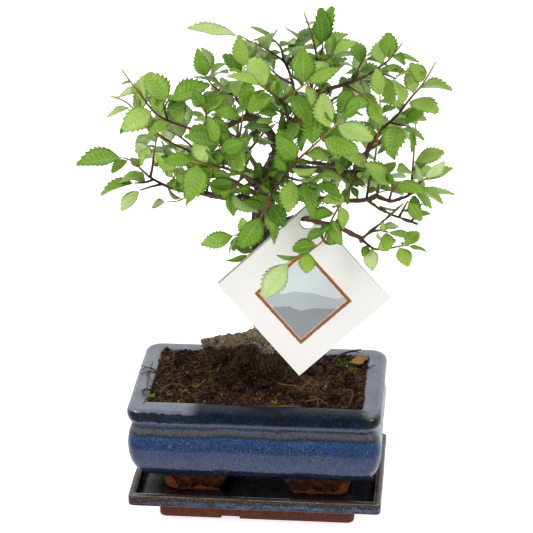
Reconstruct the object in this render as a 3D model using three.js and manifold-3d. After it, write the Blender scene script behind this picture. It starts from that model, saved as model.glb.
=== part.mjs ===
// A zelkova bonsai in a glazed pot on a drip tray, with a folded paper tag hung on a branch.
// Millimetres, +Z up, +Y to the back. The origin is under the middle of the whole object, on the ground.
import * as THREE from "three";
import { mergeVertices } from "three/addons/utils/BufferGeometryUtils.js";
import Module from "manifold-3d";

const wasm = await Module();
wasm.setup();

// Driving sizes
const SEAT_GAP = 0.3;
const POT = { halfX: 75, halfY: 47, corner: 9, foot: 18, floor: 37.5, rim: 81 };
const POT_WELL = [[13, POT.floor], [9, 44], [8, 54], [9.4, 64], [11.8, 70]];
const POT_FOOT = { halfX: 57, halfY: 31.5, corner: 8, wall: 8, top: 33 };
const ARCH = { halfX: 24, halfY: 20, low: 16, high: 30.5, slope: 8 };
const DRAIN = { radius: 5, fromMiddle: 32 };
const TRAY = { halfX: 75.5, halfY: 45.5, corner: 2.5, floor: 18, rim: 22.3 };
const TRAY_FOOT = { halfX: 59, halfY: 30.5, corner: 4, wall: 6, height: 12 };
const TRAY_NOTCH = { half: 5.5, height: 1.8, front: -15.6 };
const SOIL = { level: 78.2, mound: 12.5, moundX: 1, moundY: 13, spreadX: 27, spreadY: 15, rough: 0.8 };
const SOIL_GRID = { halfX: 70, halfY: 42, low: 20, columns: 12, rows: 8 };
const CARD = { side: 71.5, leaf: 0.6, gape: 2, fold: 6, holeRadius: 4, holeFromCorner: 9.5 };
const CARD_HANG = { hook: [28.4, 184.2, -15], limbRadius: 2.3, lean: 10, turn: -4, roll: 1.2 };
const BLADE = 0.6;
const STALK_SUNK = 0.7;
const TWIG = { base: 0.9, tip: 0.6 };
const SIDES = { trunk: 9, root: 6, limb: 5, thinLimb: 4, twig: 3, hole: 10 };
const THICK_LIMB = 2;
const CUT_REACH = 90;

// Colours and finishes
const finish = {
  pot: { color: 0x27417c, roughness: 0.25, metalness: 0 },
  tray: { color: 0x33394a, roughness: 0.3, metalness: 0 },
  soil: { color: 0x2e2018, roughness: 1, metalness: 0 },
  bark: { color: 0x5a4a3e, roughness: 0.9, metalness: 0 },
  leaf: { color: 0x5c9a35, roughness: 0.55, metalness: 0 },
  card: { color: 0xf0efec, roughness: 0.7, metalness: 0 },
};

// Tree points are read as they are seen from a viewpoint in front of and above the tree: across and up
// where the line of sight crosses the upright plane through the trunk, then the depth behind that plane.
const VIEWPOINT = [113, -1127, 646];
function seen([across, up, depth]) {
  const share = (depth - VIEWPOINT[1]) / -VIEWPOINT[1];
  return [
    VIEWPOINT[0] + (across - VIEWPOINT[0]) * share,
    depth,
    VIEWPOINT[2] + (up - VIEWPOINT[2]) * share,
  ];
}

// The trunk, its roots and its limbs. Each has its points and its radius at both ends.
const TRUNK = {
  points: [[14, 70, 12], [13, 86, 11], [10, 99, 8], [6.5, 117, 4], [4, 140, 1], [2.5, 165, 0], [3, 182, 0],
    [4, 198, 0], [8, 213, 2], [12, 225, 4], [16, 234, 5], [24, 246, 4], [31, 254, 2], [37, 263, 1]],
  radii: [19, 15.5, 12.5, 9.2, 7.6, 6.6, 6.4, 6.3, 5, 4.3, 4.1, 3.5, 3.7, 2.2],
};
const ROOTS = [
  { points: [[8, 110, 8], [-5, 107, 11], [-17, 104.5, 15], [-27, 103, 17], [-34.5, 102.5, 18]],
    radii: [9, 5.8, 4.6, 4.3, 3.3] },
  { points: [[6, 103, 10], [-8, 101, 13], [-19, 98.5, 15], [-29, 96, 15]], radii: [9, 6, 4.6, 3] },
  { points: [[-2, 98, 11], [-10, 92, 9], [-20, 82, 6]], radii: [7, 5, 2.4] },
  { points: [[14, 98, 10], [27, 89, 10], [38, 82, 10], [50, 74, 9]], radii: [8, 5, 3.4, 2] },
  { points: [[13, 96, 8], [17, 87, 0], [21, 79, -6]], radii: [9, 6.4, 3] },
  { points: [[14, 98, 12], [24, 99, 24], [30, 92, 32]], radii: [7, 4.2, 2] },
];
const LIMBS = {
  low_left: { points: [[3, 193, 0], [-8, 196.5, -4], [-18, 196.8, -6], [-30, 199, -7], [-42, 201, -8],
    [-52, 202.5, -8]], radii: [2.2, 1.4] },
  mid_left: { points: [[4, 203, 0], [-4, 211, 3], [-13, 217, 7], [-21, 222, 10], [-30, 221, 12]],
    radii: [3.6, 1.2] },
  upper_left: { points: [[13, 228, 4], [6, 239, 2], [-1, 246, 1], [-9, 245.5, -1], [-17, 241, -4],
    [-26, 235, -6]], radii: [2.8, 1.3] },
  top_left: { points: [[-1, 246, 1], [-7, 252, 5], [-12, 258, 8]], radii: [1.7, 1.1] },
  mid_right: { points: [[8, 211, 2], [16, 216, -1], [27, 216, -3], [40, 215.5, -5], [50, 214, -7],
    [57, 215.5, -9], [61, 221, -10], [65, 232, -12], [73, 243, -12]], radii: [2.3, 1.4] },
  back_right: { points: [[10, 217, 4], [20, 220, 11], [32, 220, 15], [44, 219, 19], [58, 224, 23],
    [68, 231, 26]], radii: [1.7, 0.9] },
  low_right: { points: [[5, 199, 0], [18, 199, -6], [32, 198, -10], [46, 197.5, -13], [57, 197, -14],
    [63, 198, -14], [69, 200, -14], [77, 197.5, -14], [85, 200, -14]], radii: [1.9, 1.1] },
  low_right_fork: { points: [[63, 198, -14], [70, 193, -16], [78, 189, -18], [86, 186, -20],
    [93, 183.5, -22]], radii: [1.2, 0.7] },
  tag_limb: { points: [[4, 176, 0], [12, 181, -4], [20, 184.5, -5.5], [26.8, 184.4, -9.8], CARD_HANG.hook,
    [30, 183.8, -21], [38, 181.8, -25], [47, 179.5, -27], [54, 176, -28], [60, 173, -28]],
    radii: [2.6, 1.9] },
  tag_limb_tip: { points: [[60, 173, -28], [66, 178.5, -28], [73, 185, -28], [78, 190, -30],
    [84, 196, -32]], radii: [1.3, 0.7] },
  curl: { points: [[38, 182, -21], [36.8, 176.5, -25], [38.5, 171.5, -26], [43, 169.8, -27],
    [47.2, 171.6, -27], [48.4, 176, -27], [46.5, 179.8, -26]], radii: [1, 1] },
  apex_right: { points: [[33, 257, 2], [40, 264, 0], [48, 267, -4], [56, 270, -8], [64, 274, -12]],
    radii: [1.6, 0.9] },
  apex_top: { points: [[31, 254, 2], [31, 264, 2], [32, 272, 2], [34.5, 279, 2]], radii: [1.4, 0.9] },
  apex_back: { points: [[26, 248, 4], [22, 262, 12], [18, 276, 16]], radii: [1.5, 0.9] },
  front_left: { points: [[4, 202, -2], [-2, 207, -16], [-10, 212, -28], [-18, 215, -36]], radii: [1.9, 0.9] },
  front_middle: { points: [[6, 203, -3], [10, 205, -16], [14, 208, -28]], radii: [1.7, 0.9] },
  front_high: { points: [[19, 239, 4], [18, 246, -12], [16, 254, -24]], radii: [1.9, 1] },
  front_upper_left: { points: [[4, 241, 2], [-2, 237, -12], [-8, 233, -22]], radii: [1.6, 0.9] },
  back: { points: [[7, 207, 3], [0, 216, 20], [-6, 225, 36], [-10, 233, 50]], radii: [2, 0.9] },
  back_high: { points: [[15, 232, 5], [26, 241, 20], [36, 251, 36], [44, 259, 50]], radii: [1.8, 0.9] },
  back_low_left: { points: [[3, 197, 2], [-14, 207, 22], [-30, 215, 38], [-42, 223, 50]], radii: [1.9, 0.9] },
  back_low_right: { points: [[6, 195, 2], [22, 204, 22], [40, 214, 40], [54, 222, 52]], radii: [1.9, 0.9] },
};

// Leafy sprays, each on its own stalk. A shoot has its points, the number and length of its side leaves and,
// where it ends in a leaf, that leaf's tip. A side shoot starts on the spray's first shoot, at a share of it.
const SPRAYS = {
  left_low_tip: [
    { at: [[-52, 202.5, -8], [-58, 205.5, -8], [-63, 208.5, -9], [-66, 211.5, -12], [-73, 218, -18],
      [-78, 220, -22]], n: 4, size: 18, tip: [-106, 216, -28] },
    { from: 0.3, at: [[-66, 205, -10], [-72, 204.5, -11]], n: 2, size: 18, tip: [-93, 197, -14] },
    { from: 0.12, at: [[-62, 202.6, -10], [-69, 200, -12]], n: 0, size: 0, tip: [-81, 187, -16] },
    { from: 0.38, at: [[-61, 216, -8], [-60, 224, -6], [-58, 233, -3]], n: 4, size: 15, tip: [-62, 246, 2] },
  ],
  left_low_outer: [
    { at: [[-49.5, 202.2, -8], [-49, 208, -12], [-46, 213, -16]], n: 3, size: 19, tip: [-58, 222, -22] },
  ],
  left_low_middle: [
    { at: [[-41, 201, -8], [-41.5, 206, -5], [-40, 213, -2]], n: 3, size: 19, tip: [-36, 226, 2] },
  ],
  left_low_inner: [
    { at: [[-30, 199, -7], [-28.5, 206, -10], [-26.5, 213, -13]], n: 2, size: 22, tip: [-16, 208, -18] },
    { from: 0.3, at: [[-34, 200, -12], [-37, 197.5, -14]], n: 0, size: 0, tip: [-43, 191, -15] },
  ],
  left_mid: [
    { at: [[-30, 221, 12], [-35, 220.5, 12], [-42, 222.5, 9], [-50, 223, 6]],
      n: 4, size: 22, tip: [-66, 224, 2] },
    { from: 0.25, at: [[-41, 226, 6], [-48, 229, 0], [-57, 235, -4], [-64, 241, -6], [-70, 249, -6],
      [-76, 254.5, -6], [-84, 257.5, -6]], n: 6, size: 23, tip: null },
    { from: 0.15, at: [[-38, 228, 18], [-45, 234, 24], [-52, 238, 28]], n: 3, size: 22, tip: [-66, 240, 30] },
  ],
  left_upper: [
    { at: [[-26, 235, -6], [-33, 237.5, -8], [-42, 240, -10], [-50, 243, -10], [-57, 246.5, -8],
      [-62, 252, -6], [-67, 259, -4], [-72, 266, -2], [-77, 273.5, 0]], n: 6, size: 23, tip: null },
    { from: 0.4, at: [[-53, 251, -9], [-50.5, 256, -9]], n: 2, size: 22, tip: [-28, 267, -9] },
    { from: 0.08, at: [[-29, 245, -12], [-30, 252, -18]], n: 3, size: 22, tip: [-36, 262, -22] },
  ],
  top_left: [
    { at: [[-12, 258, 8], [-11, 262.5, 6], [-8, 269, 2], [-7, 276, -4]],
      n: 4, size: 23, tip: [-10, 294, -8] },
    { from: 0.15, at: [[-18, 261, 6], [-24, 264, 3], [-29, 270, 0]], n: 3, size: 22, tip: [-33, 286, -4] },
    { from: 0.08, at: [[-16, 262, 15], [-22, 267, 22], [-26, 274, 28]], n: 3, size: 22, tip: [-30, 288, 32] },
  ],
  top: [
    { at: [[18, 276, 16], [15.5, 280.5, 14], [10, 284.5, 10], [4, 288.5, 6], [-3, 291.5, 2], [-9, 295, 0]],
      n: 4, size: 23, tip: [-38, 300, -6] },
    { from: 0.2, at: [[14, 288, 12], [10, 293, 10]], n: 3, size: 22, tip: [-2, 302, 8] },
    { from: 0.1, at: [[22, 285, 19], [27, 291, 21]], n: 3, size: 22, tip: [18, 301, 26] },
  ],
  top_back: [
    { at: [[20.5, 267, 13.5], [12, 272, 24], [4, 280, 34]], n: 3, size: 22, tip: [-6, 292, 42] },
  ],
  top_right: [
    { at: [[34.5, 279, 2], [34.2, 283.5, 2], [33, 289, 2], [31, 297, 2], [27, 309, 2]],
      n: 3, size: 23, tip: null },
    { from: 0.25, at: [[37, 287, -1], [37.5, 291, -2]], n: 1, size: 22, tip: [36.5, 311, -5] },
    { from: 0.12, at: [[39, 282, -4], [43, 285, -8]], n: 2, size: 22, tip: [55, 293, -12] },
  ],
  top_right_back: [
    { at: [[31.2, 266, 2], [34, 274, 14], [40, 283, 26]], n: 3, size: 22, tip: [46, 296, 34] },
  ],
  right_top: [
    { at: [[64, 274, -12], [69, 278, -12], [75, 283, -12], [82, 292.5, -12]], n: 5, size: 22, tip: null },
    { from: 0.12, at: [[73, 274, -16], [79, 271.5, -20]], n: 3, size: 22, tip: [86, 276, -24] },
  ],
  right_top_up: [
    { at: [[55, 269.6, -8], [58, 278, -4], [62, 285, 0]], n: 3, size: 22, tip: [70, 287, 4] },
  ],
  right_top_drop: [
    { at: [[50, 267.9, -5], [56, 264, -16], [64, 259, -26]], n: 3, size: 22, tip: [70, 244, -32] },
  ],
  right_top_back: [
    { at: [[47, 266.7, -3.5], [52, 269, 10], [60, 272, 24]], n: 3, size: 22, tip: [74, 277, 34] },
  ],
  right_high: [
    { at: [[73, 243, -12], [80, 250, -12], [87, 260, -12], [94, 269, -12], [101, 282, -12]],
      n: 6, size: 23, tip: null },
    { from: 0.1, at: [[80, 244.5, -17], [87, 243.5, -21]], n: 2, size: 22, tip: [92, 228, -26] },
  ],
  right_high_back: [
    { at: [[66, 233.5, -12], [74, 236, 2], [82, 244, 14]], n: 3, size: 22, tip: [94, 250, 22] },
  ],
  right_upright: [
    { at: [[63, 198, -14], [64, 206, -17], [65, 212, -19], [67.5, 223, -22], [69, 238, -24], [70, 250, -24],
      [70, 261, -24]], n: 6, size: 22, tip: [68, 277, -24] },
  ],
  right_low_tip: [
    { at: [[85, 200, -14], [90, 203, -14], [94, 204.2, -14]], n: 1, size: 19, tip: [114, 202.5, -14] },
    { from: 0.2, at: [[88.5, 207, -17], [89, 214, -19], [89.5, 222, -21], [90, 233, -22], [90.5, 245, -22]],
      n: 4, size: 23, tip: null },
    { from: 0.35, at: [[92, 208, -24], [97, 212, -30]], n: 3, size: 21, tip: [106, 222, -34] },
  ],
  right_low_front: [
    { at: [[76, 197.8, -14], [78, 205, -22], [80, 209, -28]], n: 2, size: 23, tip: [95, 203, -38] },
  ],
  right_low_back: [
    { at: [[69, 200, -14], [70, 207, -6], [73, 214, 3]], n: 3, size: 22, tip: [80, 222, 10] },
  ],
  right_low_drop: [
    { at: [[89, 185, -21], [92, 190, -22], [95, 197, -22]], n: 3, size: 11, tip: null },
  ],
  right_low_bright: [
    { at: [[82, 187.6, -19], [84.5, 193, -22], [87, 198, -24]], n: 1, size: 12, tip: [95, 186, -28] },
  ],
  front_right_tip: [
    { at: [[60.5, 173.2, -28], [64.5, 169.5, -30], [69, 167, -32], [77, 168, -34], [83, 169.5, -36],
      [88, 170, -38]], n: 6, size: 16, tip: [98, 166, -42] },
  ],
  front_right_up: [
    { at: [[65.5, 178, -28], [71, 179, -32], [76, 178, -35]], n: 3, size: 16, tip: [88, 176, -40] },
  ],
  front_hanging: [
    { at: [[57, 215.5, -9], [54.5, 207, -24], [50, 198, -33], [45, 189, -38], [41, 180, -40],
      [37.5, 171, -41], [28, 163.5, -42], [18, 158, -43]], n: 9, size: 18, tip: [2, 133, -50] },
  ],
  front_shoot: [
    { at: [[14, 208, -28], [17, 213.5, -33], [23, 221, -38], [32, 230, -42], [42, 240, -44], [48, 247, -46]],
      n: 7, size: 23, tip: [58, 256, -48] },
    { from: 0.12, at: [[23, 209, -38], [34, 207, -46]], n: 4, size: 23, tip: [48, 200, -54] },
  ],
  front_high: [
    { at: [[16, 254, -24], [10, 260, -29], [2, 266, -33]], n: 3, size: 23, tip: [-16, 272, -36] },
    { from: 0.25, at: [[22, 263, -30], [30, 269, -34]], n: 2, size: 23, tip: [46, 276, -38] },
  ],
  front_high_right: [
    { at: [[18, 247, -13], [26, 244, -24], [34, 240, -31]], n: 3, size: 23, tip: [50, 233, -36] },
  ],
  front_upper_left: [
    { at: [[-8, 233, -22], [-15, 231, -29], [-22, 229, -34]], n: 3, size: 23, tip: [-38, 224, -38] },
    { from: 0.2, at: [[-9, 242, -28], [-8, 250, -32]], n: 2, size: 23, tip: [-2, 268, -34] },
  ],
  front_drop: [
    { at: [[9.6, 204.7, -15], [7.5, 198, -24], [5, 191, -29], [2, 186, -32]],
      n: 4, size: 22, tip: [-11, 165, -36] },
  ],
  front_left: [
    { at: [[-18, 215, -36], [-22, 216, -39], [-29, 217, -42], [-38, 219, -46]],
      n: 4, size: 23, tip: [-54, 218, -50] },
    { from: 0.15, at: [[-20.5, 223, -40], [-23, 231, -44]], n: 4, size: 22, tip: [-28, 245, -48] },
  ],
  front_left_drop: [
    { at: [[-8, 210.5, -25], [-14, 204, -34], [-17, 199, -39]], n: 2, size: 22, tip: [-14, 186, -46] },
  ],
  trunk_shoot_upper: [
    { at: [[-1, 173, -2], [-8, 173, -9], [-14, 173.5, -12]], n: 2, size: 16, tip: [-34, 166.5, -16] },
  ],
  trunk_shoot_lower: [
    { at: [[0, 167, -2], [-3, 163, -9], [-6, 161, -12]], n: 1, size: 12, tip: [-19, 156, -16] },
  ],
  back: [
    { at: [[-10, 233, 50], [-14, 235.5, 54], [-22, 240, 60], [-30, 244, 64]],
      n: 3, size: 22, tip: [-42, 250, 70] },
    { from: 0.15, at: [[-11, 246, 58], [-14, 256, 64]], n: 3, size: 22, tip: [-20, 270, 70] },
  ],
  back_middle: [
    { at: [[-6, 225, 36], [4, 238, 46], [10, 250, 56]], n: 3, size: 22, tip: [14, 264, 64] },
  ],
  back_high: [
    { at: [[44, 259, 50], [54, 264, 58], [62, 270, 66]], n: 3, size: 22, tip: [74, 276, 72] },
  ],
  back_high_left: [
    { at: [[36, 251, 36], [30, 264, 44], [26, 276, 52]], n: 3, size: 22, tip: [22, 290, 58] },
  ],
  back_low_left: [
    { at: [[-42, 223, 50], [-52, 230, 56], [-62, 238, 60]], n: 3, size: 22, tip: [-76, 242, 62] },
  ],
  back_low_left_up: [
    { at: [[-30, 215, 38], [-34, 226, 48], [-40, 240, 56]], n: 3, size: 22, tip: [-44, 256, 62] },
  ],
  back_low_right: [
    { at: [[54, 222, 52], [66, 230, 58], [74, 240, 62]], n: 3, size: 22, tip: [84, 252, 64] },
  ],
  back_low_right_up: [
    { at: [[40, 214, 40], [42, 228, 52], [46, 240, 60]], n: 3, size: 22, tip: [50, 254, 66] },
  ],
  right_back: [
    { at: [[68, 231, 26], [76, 238, 30], [84, 246, 34]], n: 3, size: 22, tip: [96, 248, 38] },
  ],
  right_back_low: [
    { at: [[50, 221.3, 20.5], [54, 211, 24], [62, 205, 26]], n: 3, size: 22, tip: [76, 206, 30] },
  ],
};

// Vectors as plain lists
const add = (a, b, k = 1) => [a[0] + b[0] * k, a[1] + b[1] * k, a[2] + b[2] * k];
const sub = (a, b) => add(a, b, -1);
const scale = (a, k) => [a[0] * k, a[1] * k, a[2] * k];
const dot = (a, b) => a[0] * b[0] + a[1] * b[1] + a[2] * b[2];
const cross = (a, b) => [a[1] * b[2] - a[2] * b[1], a[2] * b[0] - a[0] * b[2], a[0] * b[1] - a[1] * b[0]];
const norm = (a) => Math.sqrt(dot(a, a));
const unit = (a) => scale(a, 1 / norm(a));
const mix = (a, b, t) => add(scale(a, 1 - t), b, t);

// Seeded random numbers from 0 to 1
function randomFrom(seed) {
  let state = seed >>> 0;
  return () => {
    state = (state + 0x6d2b79f5) >>> 0;
    let t = Math.imul(state ^ (state >>> 15), 1 | state);
    t = (t + Math.imul(t ^ (t >>> 7), 61 | t)) ^ t;
    return ((t ^ (t >>> 14)) >>> 0) / 4294967296;
  };
}

// The place on a line of points at t from 0 to 1, each stretch having an equal share
function along(points, t) {
  const last = points.length - 1;
  const whole = Math.min(Math.floor(t * last), last - 1);
  return mix(points[whole], points[whole + 1], t * last - whole);
}

// Leaves: where each one stands, by rule. A leaf that meets anything else tries the next swing, roll and
// size.
const CANOPY_HEART = [5, 4, 230];
const LEAF_TRIES = [[0, 0, 1], [14, -24, 1], [-14, 24, 1], [26, 40, 0.95], [-24, -44, 0.95], [38, -70, 0.9],
  [-8, 80, 0.9], [4, 140, 0.85], [-30, 100, 0.8]];
const TIP_TRIES = [[0, 0, 1], [0, 30, 1], [0, -30, 1], [6, 60, 1], [-6, -60, 0.95], [12, 0, 0.9],
  [-12, 0, 0.9]];
const LARGE_LEAF = 24;
const LARGE_EDGE = [[0.2, 0.74], [0.46, 1], [0.56, 0.84], [0.78, 0.68]];
const SMALL_EDGE = [[0.24, 0.82], [0.5, 1], [0.6, 0.76]];
const degrees = Math.PI / 180;

// A leaf as its base, three axes (along, across, out of the face), length, half width and bend
function leafAt(base, axis, face, length, half, bend) {
  const ahead = unit(axis);
  const across = unit(cross(ahead, face));
  return { base, ahead, across, face: cross(across, ahead), length, half, bend };
}

// A point of the blade at a share of its length and of its half width, raised off the face
function onLeaf(leaf, share, side, raise = 0) {
  let p = add(leaf.base, leaf.ahead, leaf.length * share);
  p = add(p, leaf.across, leaf.half * side);
  return add(p, leaf.face, raise - leaf.bend * leaf.length * share * share);
}

// The leaf that ends a shoot, from the shoot's last point to the leaf's tip
function endLeaf(points, tip, [wide, tilt], [swing, roll, reach]) {
  const end = points[points.length - 1];
  const base = add(end, unit(sub(end, points[points.length - 2])), -STALK_SUNK);
  const face = outward(base);
  const straight = sub(tip, base);
  const side = unit(cross(face, straight));
  const axis = add(straight, side, norm(straight) * Math.tan(swing * degrees));
  const length = norm(straight) * reach;
  const half = length * (0.22 + 0.05 * wide) + 0.6;
  return leafAt(base, axis, turned(face, axis, (tilt - 0.5) * 50 + roll), length, half, 0.14);
}

// Side leaf i of a shoot: left and right by turns, spread from the shoot and drooping a little
function sideLeaf(points, { n, size, tip }, i, draws, [swing, roll, reach]) {
  const t = 0.22 + ((tip ? 0.74 : 0.6) * (i + 0.5)) / n;
  const base = along(points, t);
  const way = unit(sub(along(points, t + 0.03), along(points, t - 0.03)));
  const up = unit(add(outward(base), draws.slice(0, 3).map((draw) => draw - 0.5), 0.9));
  const side = unit(scale(cross(up, way), i % 2 ? 1 : -1));
  const spread = (48 + 16 * draws[3] + swing) * degrees;
  const axis = add(add(scale(way, Math.cos(spread)), side, Math.sin(spread)), [0, 0, -1], 0.22);
  const length = size * (0.76 + 0.36 * draws[4]) * reach;
  const half = length * (0.22 + 0.07 * draws[2]) + 0.5;
  return leafAt(base, axis, turned(up, axis, roll), length, half, 0.1 + 0.1 * draws[1]);
}

// The points of each shoot of a spray in space, the side shoots from where they leave the first one
function shootPoints(shoots) {
  const main = shoots[0].at.map(seen);
  return shoots.map((shoot, i) => (i ? [along(main, shoot.from), ...shoot.at.map(seen)] : main));
}

// What a leaf keeps clear of: a solid grown by the gap, with the box round it
function obstacle(solid, owner) {
  const { min, max } = solid.boundingBox();
  return { solid, min, max, owner };
}

const boxesMeet = (a, b) => [0, 1, 2].every((i) => a.min[i] < b.max[i] && b.min[i] < a.max[i]);

function placeLeaves() {
  const random = randomFrom(11);
  const obstacles = woodPieces(SEAT_GAP).map((piece) => obstacle(piece, "wood"));
  obstacles.push(obstacle(makeTag(SEAT_GAP), "tag"));
  const wishes = [];
  const leaves = {};
  for (const [name, shoots] of Object.entries(SPRAYS)) {
    leaves[name] = [];
    shootPoints(shoots).forEach((points, index) => {
      const shoot = shoots[index];
      const owner = name + index;
      obstacles.push(obstacle(shootStem(points, SEAT_GAP), owner));
      const draws = Array.from({ length: 5 * shoot.n + 2 }, random);
      if (shoot.tip)
        wishes.push({ name, owner, rank: 0, tries: TIP_TRIES,
          make: (attempt) => endLeaf(points, seen(shoot.tip), draws, attempt) });
      for (let i = 0; i < shoot.n; i++)
        wishes.push({ name, owner, rank: 1, tries: LEAF_TRIES,
          make: (attempt) => sideLeaf(points, shoot, i, draws.slice(5 * i + 2), attempt) });
    });
  }
  for (const { name, owner, tries, make } of wishes.sort((a, b) => a.rank - b.rank))
    for (const attempt of tries) {
      const leaf = make(attempt);
      const blade = obstacle(bladeSolid(leaf, BLADE), owner);
      const met = obstacles.some((other) =>
        other.owner !== owner && boxesMeet(blade, other) && blade.solid.intersect(other.solid).volume() > 0);
      if (met) continue;
      obstacles.push(obstacle(bladeSolid(leaf, BLADE + 2 * SEAT_GAP, SEAT_GAP), owner + "leaf"));
      leaves[name].push(leaf);
      break;
    }
  return leaves;
}

// The way a leaf's upper face looks at a place: out of the canopy and up to the light
function outward(p) {
  const [x, y, z] = sub(p, CANOPY_HEART);
  return unit([x * 0.35, y + Math.sign(y || -1) * 34, z * 0.25 + 40]);
}

// face turned about an axis by an angle in degrees, square to the axis
function turned(face, axis, angle) {
  const a = unit(axis);
  const square = unit(sub(face, scale(a, dot(face, a))));
  return add(scale(square, Math.cos(angle * degrees)), cross(a, square), Math.sin(angle * degrees));
}

// Solids
function solidOf(geometry) {
  const plain = geometry.clone();
  plain.deleteAttribute("normal");
  plain.deleteAttribute("uv");
  const merged = mergeVertices(plain, 1e-4);
  return new wasm.Manifold(
    new wasm.Mesh({
      numProp: 3,
      vertProperties: merged.attributes.position.array,
      triVerts: new Uint32Array(merged.index.array),
    }),
  );
}

function solidFrom(points, triangles) {
  const geometry = new THREE.BufferGeometry();
  geometry.setAttribute("position", new THREE.Float32BufferAttribute(points.flat(), 3));
  return solidOf(geometry.setIndex(triangles.flat()));
}

function geometryOf(solid) {
  const mesh = solid.getMesh();
  return new THREE.BufferGeometry()
    .setAttribute("position", new THREE.BufferAttribute(mesh.vertProperties, 3))
    .setIndex(new THREE.BufferAttribute(mesh.triVerts, 1));
}

const joined = (solids) => wasm.Manifold.union(solids);

// A closed body through rings of points, all with the same number of points
function loft(rings) {
  const n = rings[0].length;
  const points = rings.flat();
  const triangles = [];
  for (let r = 0; r + 1 < rings.length; r++)
    for (let i = 0; i < n; i++) {
      const [a, b] = [r * n + i, r * n + ((i + 1) % n)];
      triangles.push([a, b, b + n], [a, b + n, a + n]);
    }
  const top = (rings.length - 1) * n;
  for (let i = 1; i + 1 < n; i++) {
    triangles.push([0, i + 1, i]);
    triangles.push([top, top + i, top + i + 1]);
  }
  return solidFrom(points, triangles);
}

// A level rounded rectangle, as a ring of points at a height
function roundedRing(halfX, halfY, corner, z, steps = 3) {
  const ring = [];
  for (const [sx, sy, start] of [[1, 1, 0], [-1, 1, 90], [-1, -1, 180], [1, -1, 270]])
    for (let i = 0; i <= steps; i++) {
      const angle = (start + (90 * i) / steps) * degrees;
      ring.push([
        sx * (halfX - corner) + corner * Math.cos(angle),
        sy * (halfY - corner) + corner * Math.sin(angle),
        z,
      ]);
    }
  return ring;
}

// A body turned from a profile of [inset, height] steps round a rounded rectangle
function rectangular({ halfX, halfY, corner }, profile, steps) {
  return loft(
    profile.map(([inset, z]) =>
      roundedRing(halfX - inset, halfY - inset, Math.max(corner - inset * 0.6, 0.8), z, steps),
    ),
  );
}

function box(x0, x1, y0, y1, z0, z1) {
  const geometry = new THREE.BoxGeometry(x1 - x0, y1 - y0, z1 - z0);
  geometry.translate((x0 + x1) / 2, (y0 + y1) / 2, (z0 + z1) / 2);
  return solidOf(geometry);
}

// A tapered stem through points, with a radius at each point or at both ends
function stem(points, radii, sides, grow = 0) {
  const last = points.length - 1;
  const radiusAt = (i) =>
    (radii.length > 2 ? radii[i] : radii[0] + ((radii[1] - radii[0]) * i) / last) + grow;
  let side = null;
  const rings = points.map((p, i) => {
    const way = unit(sub(points[Math.min(i + 1, last)], points[Math.max(i - 1, 0)]));
    const start = side ?? (Math.abs(way[2]) > 0.8 ? [1, 0, 0] : [0, 0, 1]);
    side = unit(sub(start, scale(way, dot(start, way))));
    const other = cross(way, side);
    const ends = grow && (i === 0 || i === last) ? (i === 0 ? -grow : grow) : 0;
    const middle = add(p, way, ends);
    return Array.from({ length: sides }, (_, k) => {
      const angle = (2 * Math.PI * k) / sides;
      return add(add(middle, side, radiusAt(i) * Math.cos(angle)), other, radiusAt(i) * Math.sin(angle));
    });
  });
  return loft(rings);
}

// A toothed blade: a point sunk in its twig, the right edge, the tip and the left edge, on both faces
function bladeSolid(leaf, thickness, widen = 0) {
  const grown = { ...leaf, half: leaf.half + widen, length: leaf.length + widen };
  const edge = leaf.length > LARGE_LEAF ? LARGE_EDGE : SMALL_EDGE;
  const last = edge.length - 1;
  const outline = [...edge, [1, 0], ...edge.map(([share, side]) => [share, -side]).reverse()];
  const top = outline.map(([share, side]) => onLeaf(grown, share, side, thickness / 2));
  const under = outline.map(([share, side]) => onLeaf(grown, share, side, -thickness / 2));
  const n = top.length;
  const root = 2 * n;
  const points = [...top, ...under, onLeaf(grown, 0, 0)];
  const triangles = [[root, 0, n - 1], [root, 2 * n - 1, n], [root, n, 0], [root, n - 1, 2 * n - 1]];
  for (let i = 0; i < last; i++) {
    const [a, b, c, d] = [i, i + 1, n - 2 - i, n - 1 - i];
    triangles.push([a, b, c], [a, c, d], [a + n, c + n, b + n], [a + n, d + n, c + n]);
  }
  triangles.push([last, last + 1, last + 2], [last + n, last + 2 + n, last + 1 + n]);
  for (let i = 0; i + 1 < n; i++) triangles.push([i, n + i, n + i + 1], [i, n + i + 1, i + 1]);
  return solidFrom(points, triangles);
}

// The glazed pot: lip, waist and belly, four bracket feet and two drain holes
function makePot() {
  const outside = rectangular(POT, [
    [24, 31], [15, 31.5], [8, 34.5], [3.2, 40], [0.8, 46.5], [0, 53], [0.2, 58.5], [1.4, 64], [2.9, 68.4],
    [1.5, 70.2], [0.3, 73.2], [0, 76], [0.8, 79], [2.8, 80.6], [6, POT.rim], [11, 80.6], [24, 80.6],
  ]);
  const inside = rectangular(POT, [...POT_WELL, [11.2, POT.rim + 1]]);
  const ring = rectangular(POT_FOOT, [[3, POT.foot + SEAT_GAP], [1.2, 23], [0, POT_FOOT.top]], 2);
  const core = rectangular(inner(POT_FOOT), [[0, POT.foot - 1], [0, POT_FOOT.top - 2]], 2);
  const feet = ring.subtract(core).subtract(archTool(ARCH.halfX, 0)).subtract(archTool(ARCH.halfY, 90));
  let pot = outside.subtract(inside).add(feet);
  for (const x of [-DRAIN.fromMiddle, DRAIN.fromMiddle]) {
    const hole = new THREE.CylinderGeometry(DRAIN.radius, DRAIN.radius, CUT_REACH, SIDES.hole);
    hole.rotateX(Math.PI / 2).translate(x, 0, POT.foot);
    pot = pot.subtract(solidOf(hole));
  }
  return pot;
}

// The rounded rectangle inside the wall of a foot ring
function inner({ halfX, halfY, corner, wall }) {
  return { halfX: halfX - wall, halfY: halfY - wall, corner: Math.max(corner - 3, 3) };
}

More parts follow.
